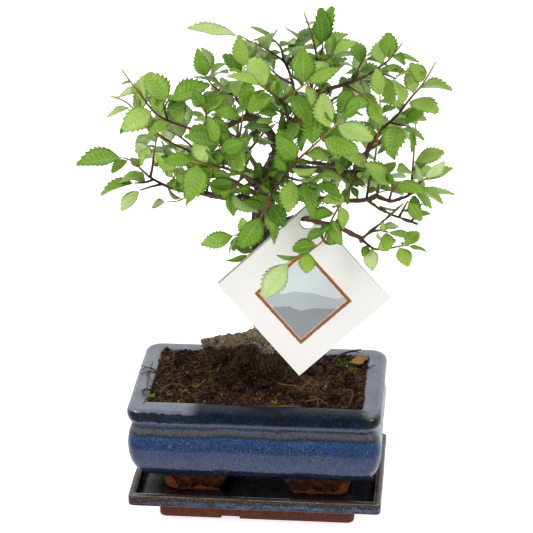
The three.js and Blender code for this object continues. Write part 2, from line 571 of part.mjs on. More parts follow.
// What is cut out between two feet, turned about the upright axis by an angle in degrees
function archTool(half, turn) {
  const { low, high, slope } = ARCH;
  const corners = [[-half, low], [half, low], [half - slope, high], [slope - half, high]];
  const shape = new THREE.Shape(corners.map(([x, y]) => new THREE.Vector2(x, y)));
  const geometry = new THREE.ExtrudeGeometry(shape, { depth: 2 * CUT_REACH, bevelEnabled: false });
  geometry.translate(0, 0, -CUT_REACH).rotateX(Math.PI / 2).rotateZ(turn * degrees);
  return solidOf(geometry);
}

// The drip tray: a shallow glazed dish on an unglazed foot ring with notches
function makeTray() {
  const dish = rectangular(TRAY, [
    [24, 12], [18, 12], [9, 13], [1.5, 15], [0, 16], [0, 21.8], [0.6, TRAY.rim], [24, TRAY.rim],
  ], 2);
  const well = rectangular(TRAY, [[9, TRAY.floor], [6.2, 18.6], [4.8, 21.8], [4, TRAY.rim + 0.6]], 2);
  const ring = rectangular(TRAY_FOOT, [[1, 0], [0, 1.2], [0, TRAY_FOOT.height + 1.5]], 2);
  const core = rectangular(inner(TRAY_FOOT), [[0, -1], [0, TRAY_FOOT.height]], 2);
  const { half, height, front } = TRAY_NOTCH;
  const lengthways = box(-CUT_REACH, CUT_REACH, -half, half, -1, height);
  const crossways = box(front - half, front + half, -CUT_REACH, CUT_REACH, -1, height);
  return dish.subtract(well).add(ring.subtract(core).subtract(lengthways).subtract(crossways));
}

// Soil up to the lip, mounded round the trunk, with holes where the roots stand
function makeSoil(woodRoom) {
  const wellWall = POT_WELL[POT_WELL.length - 1][0];
  const body = rectangular(POT, [...POT_WELL, [wellWall, POT.rim + SOIL.mound]].map(
    ([inset, z]) => [inset + SEAT_GAP, z + SEAT_GAP]));
  const { halfX, halfY, low, columns, rows } = SOIL_GRID;
  const random = randomFrom(5);
  const points = [];
  for (let j = 0; j <= rows; j++)
    for (let i = 0; i <= columns; i++) {
      const x = halfX * ((2 * i) / columns - 1);
      const y = halfY * ((2 * j) / rows - 1);
      const far = ((x - SOIL.moundX) / SOIL.spreadX) ** 2 + ((y - SOIL.moundY) / SOIL.spreadY) ** 2;
      points.push([x, y, SOIL.level + SOIL.mound * Math.exp(-far) + SOIL.rough * (random() - 0.5) * 2]);
    }
  const top = points.length;
  points.push([-halfX, -halfY, low], [halfX, -halfY, low], [halfX, halfY, low], [-halfX, halfY, low]);
  const at = (i, j) => j * (columns + 1) + i;
  const triangles = [[top, top + 2, top + 1], [top, top + 3, top + 2]];
  for (let j = 0; j < rows; j++)
    for (let i = 0; i < columns; i++)
      triangles.push([at(i, j), at(i + 1, j), at(i + 1, j + 1)], [at(i, j), at(i + 1, j + 1), at(i, j + 1)]);
  const wall = (edge, corner, next) => {
    for (let i = 0; i + 1 < edge.length; i++) triangles.push([edge[i + 1], edge[i], corner]);
    triangles.push([corner, next, edge[edge.length - 1]]);
  };
  const columnsAt = (j) => Array.from({ length: columns + 1 }, (_, i) => at(i, j));
  const rowsAt = (i) => Array.from({ length: rows + 1 }, (_, j) => at(i, j));
  wall(columnsAt(0), top, top + 1);
  wall(rowsAt(columns), top + 1, top + 2);
  wall(columnsAt(rows).reverse(), top + 2, top + 3);
  wall(rowsAt(0).reverse(), top + 3, top);
  return biggest(body.intersect(solidFrom(points, triangles)).subtract(woodRoom));
}

function biggest(solid) {
  return solid.decompose().reduce((a, b) => (b.volume() > a.volume() ? b : a));
}

// All the wood that stays brown and bare, grown by a margin where asked
function woodPieces(grow = 0) {
  const trunk = stem(TRUNK.points.map(seen), TRUNK.radii, SIDES.trunk, grow);
  const roots = ROOTS.map((root) => stem(root.points.map(seen), root.radii, SIDES.root, grow));
  const limbs = Object.values(LIMBS).map(({ points, radii }) =>
    stem(points.map(seen), radii, radii[0] > THICK_LIMB ? SIDES.limb : SIDES.thinLimb, grow));
  return [trunk, ...roots, ...limbs];
}

function shootStem(points, grow = 0) {
  return stem(points, [TWIG.base, TWIG.tip], SIDES.twig, grow);
}

// The card's lowest corner, its axes and its hole: it hangs on its limb by the hole
function cardPlace() {
  const lean = CARD_HANG.lean * degrees;
  const turn = CARD_HANG.turn * degrees;
  const roll = CARD_HANG.roll * degrees;
  const level = [Math.cos(turn), Math.sin(turn), 0];
  const back = [-Math.sin(turn), Math.cos(turn), 0];
  const upright = add(scale([0, 0, 1], Math.cos(lean)), back, Math.sin(lean));
  const rise = add(scale(upright, Math.cos(roll)), level, Math.sin(roll));
  const across = add(scale(level, Math.cos(roll)), upright, -Math.sin(roll));
  const hole = add(seen(CARD_HANG.hook), rise, CARD_HANG.limbRadius + SEAT_GAP - CARD.holeRadius);
  return {
    corner: add(hole, rise, CARD.holeFromCorner - CARD.side * Math.SQRT2),
    right: unit(add(across, rise)),
    left: unit(sub(rise, across)),
    front: cross(across, rise),
    hole,
  };
}

// A paper tag folded along its lower right edge, with a hole through both leaves
function makeTag(grow = 0) {
  const { corner, right, left, front, hole } = cardPlace();
  const { side, leaf, gape, fold } = CARD;
  const over = side + grow;
  const profile = grow
    ? [[-grow, leaf + grow], [over, leaf + grow], [over, -gape - leaf - grow], [-grow, -leaf - grow]]
    : [[0, leaf], [side, leaf], [side, 0], [fold, 0], [side, -gape], [side, -gape - leaf], [0, -leaf]];
  const shape = new THREE.Shape(profile.map(([x, y]) => new THREE.Vector2(x, y)));
  const geometry = new THREE.ExtrudeGeometry(shape, { depth: side + 2 * grow, bevelEnabled: false });
  geometry.translate(0, 0, -grow);
  const place = new THREE.Matrix4().makeBasis(
    new THREE.Vector3(...left), new THREE.Vector3(...front), new THREE.Vector3(...right));
  place.setPosition(...corner);
  const sheet = solidOf(geometry.applyMatrix4(place));
  if (grow) return sheet;
  const punch = new THREE.CylinderGeometry(CARD.holeRadius, CARD.holeRadius, 20, SIDES.hole);
  punch.applyQuaternion(new THREE.Quaternion().setFromUnitVectors(
    new THREE.Vector3(0, 1, 0), new THREE.Vector3(...front)));
  punch.translate(...hole);
  return sheet.subtract(solidOf(punch));
}

function makeSpray(shoots, leaves) {
  const stems = shootPoints(shoots).map((points) => shootStem(points));
  return joined([...stems, ...leaves.map((leaf) => bladeSolid(leaf, BLADE))]);
}

// The object
const bonsai = new THREE.Group();
function addPiece(name, solid, look) {
  const mesh = new THREE.Mesh(geometryOf(solid), new THREE.MeshStandardMaterial(finish[look]));
  mesh.name = name;
  bonsai.add(mesh);
}

const woodRoom = joined(woodPieces(SEAT_GAP));
const leaves = placeLeaves();

addPiece("pot", makePot(), "pot");
addPiece("saucer", makeTray(), "tray");
addPiece("soil", makeSoil(woodRoom), "soil");
addPiece("trunk", joined(woodPieces()), "bark");
addPiece("tag", makeTag(), "card");
for (const [name, shoots] of Object.entries(SPRAYS))
  addPiece("spray_" + name, biggest(makeSpray(shoots, leaves[name]).subtract(woodRoom)), "leaf");

// The origin goes under the middle of the whole object.
const bounds = new THREE.Box3().setFromObject(bonsai);
bonsai.position.set(-(bounds.min.x + bounds.max.x) / 2, -(bounds.min.y + bounds.max.y) / 2, 0);

export default bonsai;
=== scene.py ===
# A small zelkova in a glazed pot, with its drip tray and paper tag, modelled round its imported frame.
# Blender works in metres. Profiles and the tree's points are written in millimetres from the pot's middle.
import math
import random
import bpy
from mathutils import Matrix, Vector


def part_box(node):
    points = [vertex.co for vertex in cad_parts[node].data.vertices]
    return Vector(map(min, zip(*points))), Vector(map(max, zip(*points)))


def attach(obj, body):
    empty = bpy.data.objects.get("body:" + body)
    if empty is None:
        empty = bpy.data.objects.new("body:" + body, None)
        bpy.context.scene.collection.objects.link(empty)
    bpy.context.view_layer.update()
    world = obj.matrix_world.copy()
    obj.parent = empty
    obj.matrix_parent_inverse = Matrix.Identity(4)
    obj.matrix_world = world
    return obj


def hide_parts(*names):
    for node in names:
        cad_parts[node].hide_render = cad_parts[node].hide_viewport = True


bl_info = {
    "name": "Potted Zelkova",
    "version": (1, 0, 0),
    "blender": (4, 5, 0),
    "location": "View3D > Sidebar > Bonsai",
    "description": "Models a zelkova bonsai in a glazed pot on its drip tray, with a paper tag",
    "category": "Add Mesh",
}

from collections import namedtuple
from functools import reduce

import bmesh
import bpy
import numpy as np
from bpy.props import FloatProperty, FloatVectorProperty, IntProperty, PointerProperty
from mathutils import Matrix, Vector, noise

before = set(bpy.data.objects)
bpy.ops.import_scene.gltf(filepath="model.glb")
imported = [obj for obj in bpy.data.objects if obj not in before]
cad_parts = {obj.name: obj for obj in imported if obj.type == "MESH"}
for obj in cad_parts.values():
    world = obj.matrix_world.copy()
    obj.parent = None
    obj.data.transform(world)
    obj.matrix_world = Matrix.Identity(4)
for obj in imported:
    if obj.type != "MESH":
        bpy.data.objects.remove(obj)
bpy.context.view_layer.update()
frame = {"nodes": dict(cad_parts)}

MM = 0.001
POT_LOW, POT_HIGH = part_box("pot")
MIDDLE = np.array([(POT_LOW.x + POT_HIGH.x) / 2, (POT_LOW.y + POT_HIGH.y) / 2, 0.0])

# The tree as it is read from a viewpoint in front of and above it: across and up on the upright plane
# through the trunk, then the depth behind that plane.
VIEWPOINT = (113, -1127, 646)
# The trunk, as (readings, radii in millimetres)
TRUNK = (
    [(14, 70, 12), (13, 86, 11), (10, 99, 8), (6.5, 117, 4), (4, 140, 1), (2.5, 165, 0), (3, 182, 0),
        (4, 198, 0), (8, 213, 2), (12, 225, 4), (16, 234, 5), (24, 246, 4), (31, 254, 2), (37, 263, 1)],
    (19, 15.5, 12.5, 9.2, 7.6, 6.6, 6.4, 6.3, 5, 4.3, 4.1, 3.5, 3.7, 2.2),
)
# The roots, each in the same way
ROOTS = [
    ([(8, 110, 8), (-5, 107, 11), (-17, 104.5, 15), (-27, 103, 17),
        (-34.5, 102.5, 18)], (9, 5.8, 4.6, 4.3, 3.3)),
    ([(6, 103, 10), (-8, 101, 13), (-19, 98.5, 15), (-29, 96, 15)], (9, 6, 4.6, 3)),
    ([(-2, 98, 11), (-10, 92, 9), (-20, 82, 6)], (7, 5, 2.4)),
    ([(14, 98, 10), (27, 89, 10), (38, 82, 10), (50, 74, 9)], (8, 5, 3.4, 2)),
    ([(13, 96, 8), (17, 87, 0), (21, 79, -6)], (9, 6.4, 3)),
    ([(14, 98, 12), (24, 99, 24), (30, 92, 32)], (7, 4.2, 2)),
]
# The limbs by name, each in the same way
LIMBS = {
    "low_left": ([(3, 193, 0), (-8, 196.5, -4), (-18, 196.8, -6), (-30, 199, -7), (-42, 201, -8),
        (-52, 202.5, -8)], (2.2, 1.4)),
    "mid_left": ([(4, 203, 0), (-4, 211, 3), (-13, 217, 7), (-21, 222, 10), (-30, 221, 12)], (3.6, 1.2)),
    "upper_left": ([(13, 228, 4), (6, 239, 2), (-1, 246, 1), (-9, 245.5, -1), (-17, 241, -4),
        (-26, 235, -6)], (2.8, 1.3)),
    "top_left": ([(-1, 246, 1), (-7, 252, 5), (-12, 258, 8)], (1.7, 1.1)),
    "mid_right": ([(8, 211, 2), (16, 216, -1), (27, 216, -3), (40, 215.5, -5), (50, 214, -7),
        (57, 215.5, -9), (61, 221, -10), (65, 232, -12), (73, 243, -12)], (2.3, 1.4)),
    "back_right": ([(10, 217, 4), (20, 220, 11), (32, 220, 15), (44, 219, 19), (58, 224, 23),
        (68, 231, 26)], (1.7, 0.9)),
    "low_right": ([(5, 199, 0), (18, 199, -6), (32, 198, -10), (46, 197.5, -13), (57, 197, -14),
        (63, 198, -14), (69, 200, -14), (77, 197.5, -14), (85, 200, -14)], (1.9, 1.1)),
    "low_right_fork": ([(63, 198, -14), (70, 193, -16), (78, 189, -18), (86, 186, -20),
        (93, 183.5, -22)], (1.2, 0.7)),
    "tag_limb": ([(4, 176, 0), (12, 181, -4), (20, 184.5, -5.5), (26.8, 184.4, -9.8), (28.4, 184.2, -15),
        (30, 183.8, -21), (38, 181.8, -25), (47, 179.5, -27), (54, 176, -28), (60, 173, -28)], (2.6, 1.9)),
    "tag_limb_tip": ([(60, 173, -28), (66, 178.5, -28), (73, 185, -28), (78, 190, -30),
        (84, 196, -32)], (1.3, 0.7)),
    "curl": ([(38, 182, -21), (36.8, 176.5, -25), (38.5, 171.5, -26), (43, 169.8, -27),
        (47.2, 171.6, -27), (48.4, 176, -27), (46.5, 179.8, -26)], (1, 1)),
    "apex_right": ([(33, 257, 2), (40, 264, 0), (48, 267, -4), (56, 270, -8), (64, 274, -12)], (1.6, 0.9)),
    "apex_top": ([(31, 254, 2), (31, 264, 2), (32, 272, 2), (34.5, 279, 2)], (1.4, 0.9)),
    "apex_back": ([(26, 248, 4), (22, 262, 12), (18, 276, 16)], (1.5, 0.9)),
    "front_left": ([(4, 202, -2), (-2, 207, -16), (-10, 212, -28), (-18, 215, -36)], (1.9, 0.9)),
    "front_middle": ([(6, 203, -3), (10, 205, -16), (14, 208, -28)], (1.7, 0.9)),
    "front_high": ([(19, 239, 4), (18, 246, -12), (16, 254, -24)], (1.9, 1)),
    "front_upper_left": ([(4, 241, 2), (-2, 237, -12), (-8, 233, -22)], (1.6, 0.9)),
    "back": ([(7, 207, 3), (0, 216, 20), (-6, 225, 36), (-10, 233, 50)], (2, 0.9)),
    "back_high": ([(15, 232, 5), (26, 241, 20), (36, 251, 36), (44, 259, 50)], (1.8, 0.9)),
    "back_low_left": ([(3, 197, 2), (-14, 207, 22), (-30, 215, 38), (-42, 223, 50)], (1.9, 0.9)),
    "back_low_right": ([(6, 195, 2), (22, 204, 22), (40, 214, 40), (54, 222, 52)], (1.9, 0.9)),
}
# A limb thinner than THIN_LIMB has a share of its radius. The tag's has less, and is raised by millimetres.
THIN_LIMB = 2
THIN_LIMB_SHARE = 0.85
TAG_LIMB_SHARE = 0.7
TAG_LIMB_RISE = 0.65
# Limbs at least this thick are fused with the trunk
FUSED_LIMB = 1.6
# The leafy sprays by name, each a list of shoots: where it leaves the first one, from 0 to 1, its readings,
# how many side leaves it has, their length in millimetres, and the tip of the leaf that ends it, if any
SPRAYS = {
    "left_low_tip": [
        (0, [(-52, 202.5, -8), (-58, 205.5, -8), (-63, 208.5, -9), (-66, 211.5, -12), (-73, 218, -18),
            (-78, 220, -22)], 4, 18, (-106, 216, -28)),
        (0.3, [(-66, 205, -10), (-72, 204.5, -11)], 2, 18, (-93, 197, -14)),
        (0.12, [(-62, 202.6, -10), (-69, 200, -12)], 0, 0, (-81, 187, -16)),
        (0.38, [(-61, 216, -8), (-60, 224, -6), (-58, 233, -3)], 4, 15, (-62, 246, 2)),
    ],
    "left_low_outer": [(0, [(-49.5, 202.2, -8), (-49, 208, -12), (-46, 213, -16)], 3, 19, (-58, 222, -22))],
    "left_low_middle": [(0, [(-41, 201, -8), (-41.5, 206, -5), (-40, 213, -2)], 3, 19, (-36, 226, 2))],
    "left_low_inner": [
        (0, [(-30, 199, -7), (-28.5, 206, -10), (-26.5, 213, -13)], 2, 22, (-16, 208, -18)),
        (0.3, [(-34, 200, -12), (-37, 197.5, -14)], 0, 0, (-43, 191, -15)),
    ],
    "left_mid": [
        (0, [(-30, 221, 12), (-35, 220.5, 12), (-42, 222.5, 9), (-50, 223, 6)], 4, 22, (-66, 224, 2)),
        (0.25, [(-41, 226, 6), (-48, 229, 0), (-57, 235, -4), (-64, 241, -6), (-70, 249, -6),
            (-76, 254.5, -6), (-84, 257.5, -6)], 6, 23, None),
        (0.15, [(-38, 228, 18), (-45, 234, 24), (-52, 238, 28)], 3, 22, (-66, 240, 30)),
    ],
    "left_upper": [
        (0, [(-26, 235, -6), (-33, 237.5, -8), (-42, 240, -10), (-50, 243, -10), (-57, 246.5, -8),
            (-62, 252, -6), (-67, 259, -4), (-72, 266, -2), (-77, 273.5, 0)], 6, 23, None),
        (0.4, [(-53, 251, -9), (-50.5, 256, -9)], 2, 22, (-28, 267, -9)),
        (0.08, [(-29, 245, -12), (-30, 252, -18)], 3, 22, (-36, 262, -22)),
    ],
    "top_left": [
        (0, [(-12, 258, 8), (-11, 262.5, 6), (-8, 269, 2), (-7, 276, -4)], 4, 23, (-10, 294, -8)),
        (0.15, [(-18, 261, 6), (-24, 264, 3), (-29, 270, 0)], 3, 22, (-33, 286, -4)),
        (0.08, [(-16, 262, 15), (-22, 267, 22), (-26, 274, 28)], 3, 22, (-30, 288, 32)),
    ],
    "top": [
        (0, [(18, 276, 16), (15.5, 280.5, 14), (10, 284.5, 10), (4, 288.5, 6), (-3, 291.5, 2),
            (-9, 295, 0)], 4, 23, (-38, 300, -6)),
        (0.2, [(14, 288, 12), (10, 293, 10)], 3, 22, (-2, 302, 8)),
        (0.1, [(22, 285, 19), (27, 291, 21)], 3, 22, (18, 301, 26)),
    ],
    "top_back": [(0, [(20.5, 267, 13.5), (12, 272, 24), (4, 280, 34)], 3, 22, (-6, 292, 42))],
    "top_right": [
        (0, [(34.5, 279, 2), (34.2, 283.5, 2), (33, 289, 2), (31, 297, 2), (27, 309, 2)], 3, 23, None),
        (0.25, [(37, 287, -1), (37.5, 291, -2)], 1, 22, (36.5, 311, -5)),
        (0.12, [(39, 282, -4), (43, 285, -8)], 2, 22, (55, 293, -12)),
    ],
    "top_right_back": [(0, [(31.2, 266, 2), (34, 274, 14), (40, 283, 26)], 3, 22, (46, 296, 34))],
    "right_top": [
        (0, [(64, 274, -12), (69, 278, -12), (75, 283, -12), (82, 292.5, -12)], 5, 22, None),
        (0.12, [(73, 274, -16), (79, 271.5, -20)], 3, 22, (86, 276, -24)),
    ],
    "right_top_up": [(0, [(55, 269.6, -8), (58, 278, -4), (62, 285, 0)], 3, 22, (70, 287, 4))],
    "right_top_drop": [(0, [(50, 267.9, -5), (56, 264, -16), (64, 259, -26)], 3, 22, (70, 244, -32))],
    "right_top_back": [(0, [(47, 266.7, -3.5), (52, 269, 10), (60, 272, 24)], 3, 22, (74, 277, 34))],
    "right_high": [
        (0, [(73, 243, -12), (80, 250, -12), (87, 260, -12), (94, 269, -12), (101, 282, -12)], 6, 23, None),
        (0.1, [(80, 244.5, -17), (87, 243.5, -21)], 2, 22, (92, 228, -26)),
    ],
    "right_high_back": [(0, [(66, 233.5, -12), (74, 236, 2), (82, 244, 14)], 3, 22, (94, 250, 22))],
    "right_upright": [
        (0, [(63, 198, -14), (64, 206, -17), (65, 212, -19), (67.5, 223, -22), (69, 238, -24),
            (70, 250, -24), (70, 261, -24)], 6, 22, (68, 277, -24)),
    ],
    "right_low_tip": [
        (0, [(85, 200, -14), (90, 203, -14), (94, 204.2, -14)], 1, 19, (114, 202.5, -14)),
        (0.2, [(88.5, 207, -17), (89, 214, -19), (89.5, 222, -21), (90, 233, -22),
            (90.5, 245, -22)], 4, 23, None),
        (0.35, [(92, 208, -24), (97, 212, -30)], 3, 21, (106, 222, -34)),
    ],
    "right_low_front": [(0, [(76, 197.8, -14), (78, 205, -22), (80, 209, -28)], 2, 23, (95, 203, -38))],
    "right_low_back": [(0, [(69, 200, -14), (70, 207, -6), (73, 214, 3)], 3, 22, (80, 222, 10))],
    "right_low_drop": [(0, [(89, 185, -21), (92, 190, -22), (95, 197, -22)], 3, 11, None)],
    "right_low_bright": [(0, [(82, 187.6, -19), (84.5, 193, -22), (87, 198, -24)], 1, 12, (95, 186, -28))],
    "front_right_tip": [
        (0, [(60.5, 173.2, -28), (64.5, 169.5, -30), (69, 167, -32), (77, 168, -34), (83, 169.5, -36),
            (88, 170, -38)], 6, 16, (98, 166, -42)),
    ],
    "front_right_up": [(0, [(65.5, 178, -28), (71, 179, -32), (76, 178, -35)], 3, 16, (88, 176, -40))],
    "front_hanging": [
        (0, [(57, 215.5, -9), (54.5, 207, -24), (50, 198, -33), (45, 189, -38), (41, 180, -40),
            (37.5, 171, -41), (28, 163.5, -42), (18, 158, -43)], 9, 18, (2, 133, -50)),
    ],
    "front_shoot": [
        (0, [(14, 208, -28), (17, 213.5, -33), (23, 221, -38), (32, 230, -42), (42, 240, -44),
            (48, 247, -46)], 7, 23, (58, 256, -48)),
        (0.12, [(23, 209, -38), (34, 207, -46)], 4, 23, (48, 200, -54)),
    ],
    "front_high": [
        (0, [(16, 254, -24), (10, 260, -29), (2, 266, -33)], 3, 23, (-16, 272, -36)),
        (0.25, [(22, 263, -30), (30, 269, -34)], 2, 23, (46, 276, -38)),
    ],
    "front_high_right": [(0, [(18, 247, -13), (26, 244, -24), (34, 240, -31)], 3, 23, (50, 233, -36))],
    "front_upper_left": [
        (0, [(-8, 233, -22), (-15, 231, -29), (-22, 229, -34)], 3, 23, (-38, 224, -38)),
        (0.2, [(-9, 242, -28), (-8, 250, -32)], 2, 23, (-2, 268, -34)),
    ],
    "front_drop": [
        (0, [(9.6, 204.7, -15), (7.5, 198, -24), (5, 191, -29), (2, 186, -32)], 4, 22, (-11, 165, -36)),
    ],
    "front_left": [
        (0, [(-18, 215, -36), (-22, 216, -39), (-29, 217, -42), (-38, 219, -46)], 4, 23, (-54, 218, -50)),
        (0.15, [(-20.5, 223, -40), (-23, 231, -44)], 4, 22, (-28, 245, -48)),
    ],
    "front_left_drop": [(0, [(-8, 210.5, -25), (-14, 204, -34), (-17, 199, -39)], 2, 22, (-14, 186, -46))],
    "trunk_shoot_upper": [(0, [(-1, 173, -2), (-8, 173, -9), (-14, 173.5, -12)], 2, 16, (-34, 166.5, -16))],
    "trunk_shoot_lower": [(0, [(0, 167, -2), (-3, 163, -9), (-6, 161, -12)], 1, 12, (-19, 156, -16))],
    "back": [
        (0, [(-10, 233, 50), (-14, 235.5, 54), (-22, 240, 60), (-30, 244, 64)], 3, 22, (-42, 250, 70)),
        (0.15, [(-11, 246, 58), (-14, 256, 64)], 3, 22, (-20, 270, 70)),
    ],
    "back_middle": [(0, [(-6, 225, 36), (4, 238, 46), (10, 250, 56)], 3, 22, (14, 264, 64))],
    "back_high": [(0, [(44, 259, 50), (54, 264, 58), (62, 270, 66)], 3, 22, (74, 276, 72))],
    "back_high_left": [(0, [(36, 251, 36), (30, 264, 44), (26, 276, 52)], 3, 22, (22, 290, 58))],
    "back_low_left": [(0, [(-42, 223, 50), (-52, 230, 56), (-62, 238, 60)], 3, 22, (-76, 242, 62))],
    "back_low_left_up": [(0, [(-30, 215, 38), (-34, 226, 48), (-40, 240, 56)], 3, 22, (-44, 256, 62))],
    "back_low_right": [(0, [(54, 222, 52), (66, 230, 58), (74, 240, 62)], 3, 22, (84, 252, 64))],
    "back_low_right_up": [(0, [(40, 214, 40), (42, 228, 52), (46, 240, 60)], 3, 22, (50, 254, 66))],
    "right_back": [(0, [(68, 231, 26), (76, 238, 30), (84, 246, 34)], 3, 22, (96, 248, 38))],
    "right_back_low": [(0, [(50, 221.3, 20.5), (54, 211, 24), (62, 205, 26)], 3, 22, (76, 206, 30))],
}
# The reading of the place where the tag hangs on its limb
HOOK = (28.4, 184.2, -15)


def seen(reading):
    """A reading of the tree as a point in millimetres from the pot's middle."""
    across, up, depth = reading
    share = (depth - VIEWPOINT[1]) / -VIEWPOINT[1]
    return np.array(
        [
            VIEWPOINT[0] + (across - VIEWPOINT[0]) * share,
            depth,
            VIEWPOINT[2] + (up - VIEWPOINT[2]) * share,
        ]
    )


def spot(point):
    """A point in millimetres from the pot's middle, in metres in the frame."""
    return tuple(MIDDLE + np.array(point, float) * MM)


def paint(code):
    """A colour written as on screen, such as '3a6b25', as linear values."""
    parts = [int(code[i : i + 2], 16) / 255 for i in (0, 2, 4)]
    return tuple(c / 12.92 if c < 0.04045 else ((c + 0.055) / 1.055) ** 2.4 for c in parts)


def hue(value):
    """A colour given as a code or as linear values, as linear values."""
    return paint(value) if isinstance(value, str) else tuple(value)


def clipped(value, low=0, high=1):
    return min(high, max(low, value))


# Sizes and colours that a user may change


def length(title, text, value):
    return FloatProperty(
        name=title, description=text, default=value, min=0, unit="LENGTH", subtype="DISTANCE", precision=4
    )


def number(title, text, value):
    return IntProperty(name=title, description=text, default=value, min=0)


def angle(title, text, degrees):
    return FloatProperty(name=title, description=text, default=math.radians(degrees), subtype="ANGLE")


def light(title, text, strength):
    return FloatProperty(name=title, description=text, default=strength, min=0)


def colour(title, text, code):
    return FloatVectorProperty(
        name=title, description=text, default=paint(code), size=3, min=0, max=1, subtype="COLOR"
    )


class PotSettings(bpy.types.PropertyGroup):
    half_length: length("Half length", "Half the pot's length", (POT_HIGH.x - POT_LOW.x) / 2)
    half_width: length("Half width", "Half the pot's width", (POT_HIGH.y - POT_LOW.y) / 2)
    corner: length("Corner", "Radius of the pot's corners, seen from above", 0.009)
    cobalt: colour("Cobalt", "Glaze where it lies thick on the belly", "0e2150")
    slate: colour("Slate", "Glaze on the lower belly", "474f69")
    navy: colour("Navy", "Glaze on the rim's nose and under the belly", "070b16")
    ice: colour("Ice", "Specks that float in the glaze", "5a92c8")
    # The rim's grey is its thin glaze painted lighter, as a painted reflection of the bright room on its top.
    ash_and_sheen: colour("Ash", "Thin glaze on the rim and at the waist", "7a7e8a")
    clay: colour("Clay", "Bare clay of the feet", "8c461f")


class TraySettings(bpy.types.PropertyGroup):
    half_length: length("Half length", "Half the tray's length", 0.0755)
    half_width: length("Half width", "Half the tray's width", 0.0455)
    brown: colour("Brown", "Thin glaze on the tray's edge", "352b26")
    well: colour("Well", "Glaze inside the tray", "100e12")
    streak: colour("Streak", "Blue runs low on the tray's edge", "465d8c")
    clay: colour("Clay", "Bare clay of the foot ring", "6f3325")


class SoilSettings(bpy.types.PropertyGroup):
    crumbs: number("Crumbs", "How many crumbs lie on the soil", 1100)
    straws: number("Straws", "How many fibres lie on the soil", 220)
    dark: colour("Dark", "Damp soil", "170e08")
    light: colour("Light", "Dry soil", "755640")
    moss: colour("Moss", "Moss on the soil", "4a4f22")
    straw: colour("Straw", "Fibres in the soil", "a5683c")


class TreeSettings(bpy.types.PropertyGroup):
    grain: length("Bark grain", "Size of the remeshed trunk's faces", 0.0007)
    blade: length("Leaf thickness", "Thickness of a leaf at its midrib", 0.0004)
    inner_shoots: number("Inner shoots", "Leafy twiglets on the limbs inside the crown", 64)
    bark: colour("Bark", "Old bark", "6d6052")
    crack: colour("Crack", "Cracks in the bark", "241b16")
    shoot: colour("Shoot", "Young shoots", "9a6d33")
    deep: colour("Deep green", "Leaves in the shade", "5f9019")
    fresh: colour("Fresh green", "Most leaves", "7ca62b")
    lime: colour("Lime", "The youngest leaves", "a6c858")
    under: colour("Underside", "Undersides of the leaves", "b4c499")


class TagSettings(bpy.types.PropertyGroup):
    side: length("Side", "Side of the square card", 0.0715)
    card: length("Card", "Thickness of the card", 0.0005)
    paper: colour("Paper", "Bare card", "e6e5e3")
    frame: colour("Frame", "Printed frame", "94591c")
    mist: colour("Mist", "Printed sky", "ccd2d6")
    hill: colour("Hill", "Printed hills", "8b9094")


class StageSettings(bpy.types.PropertyGroup):
    distance: length("Camera distance", "From the camera to the point that it looks at", 1.235)
    azimuth: angle("Azimuth", "The camera's turn to the right", 5.5)
    elevation: angle("Elevation", "The camera's height as an angle", 23.5)
    front_light: light("Front light", "The room's light in front", 0.2)
    back_light: light("Back light", "The room's light behind", 0.85)
    floor: colour("Floor", "The floor", "fafafa")


# Modelling by hand, in code


def deselect_all():
    for obj in bpy.context.selected_objects:
        obj.select_set(False)


def take(*objs):
    """Selects these objects and nothing else, with the first one active."""
    deselect_all()
    for obj in objs:
        obj.select_set(True)
    bpy.context.view_layer.objects.active = objs[0]


def edit(obj):
    take(obj)
    bpy.ops.object.mode_set(mode="EDIT")


def leave_edit():
    bpy.ops.object.mode_set(mode="OBJECT")


def select_all_of(obj):
    """Enters edit mode with the whole of an object selected."""
    edit(obj)
    bpy.ops.mesh.select_all(action="SELECT")


def pick(obj, kind, test):
    """In edit mode, selects the vertices, edges or faces that pass a test, and nothing else."""
    bpy.ops.mesh.select_mode(type={"verts": "VERT", "edges": "EDGE", "faces": "FACE"}[kind])
    bpy.ops.mesh.select_all(action="DESELECT")
    shape = bmesh.from_edit_mesh(obj.data)
    for part in getattr(shape, kind):
        if test(part):
            part.select_set(True)
    bmesh.update_edit_mesh(obj.data)


def apply(obj, kind, **settings):
    """Adds a modifier to an object and applies it."""
    take(obj)
    modifier = obj.modifiers.new(kind, kind)
    for key, value in settings.items():
        setattr(modifier, key, value)
    bpy.ops.object.modifier_apply(modifier=modifier.name)


def cut(obj, *tools):
    """Cuts other bodies out of an object."""
    for tool in tools:
        apply(obj, "BOOLEAN", operation="DIFFERENCE", object=tool, solver="EXACT")
        bpy.data.objects.remove(tool)


def join(*objs):
    take(*objs)
    bpy.ops.object.join()
    return objs[0]


def link(name, data):
    """A new object that holds some data."""
    obj = bpy.data.objects.new(name, data)
    bpy.context.collection.objects.link(obj)
    return obj


def positions(mesh):
    flat = np.empty(len(mesh.vertices) * 3)
    mesh.vertices.foreach_get("co", flat)
    return flat.reshape(-1, 3)


def place(mesh, points):
    mesh.vertices.foreach_set("co", np.asarray(points, float).ravel())
    mesh.update()


def knead(obj, amount, grain, stretch=(1, 1, 1), octaves=3, share=None):
    """Moves each vertex along its normal by noise of a given grain, as clay or bark is uneven."""
    mesh = obj.data
    points = positions(mesh)
    ways = np.empty(points.size)
    mesh.vertex_normals.foreach_get("vector", ways)
    swell = np.array([noise.fractal(Vector(point * stretch / grain), 0.8, 2.1, octaves) for point in points])
    if share:
        swell = swell * share(points)
    place(mesh, points + ways.reshape(-1, 3) * swell[:, None] * amount)


def coat(obj, *materials):
    obj.data.materials.clear()
    for material in materials:
        obj.data.materials.append(material)


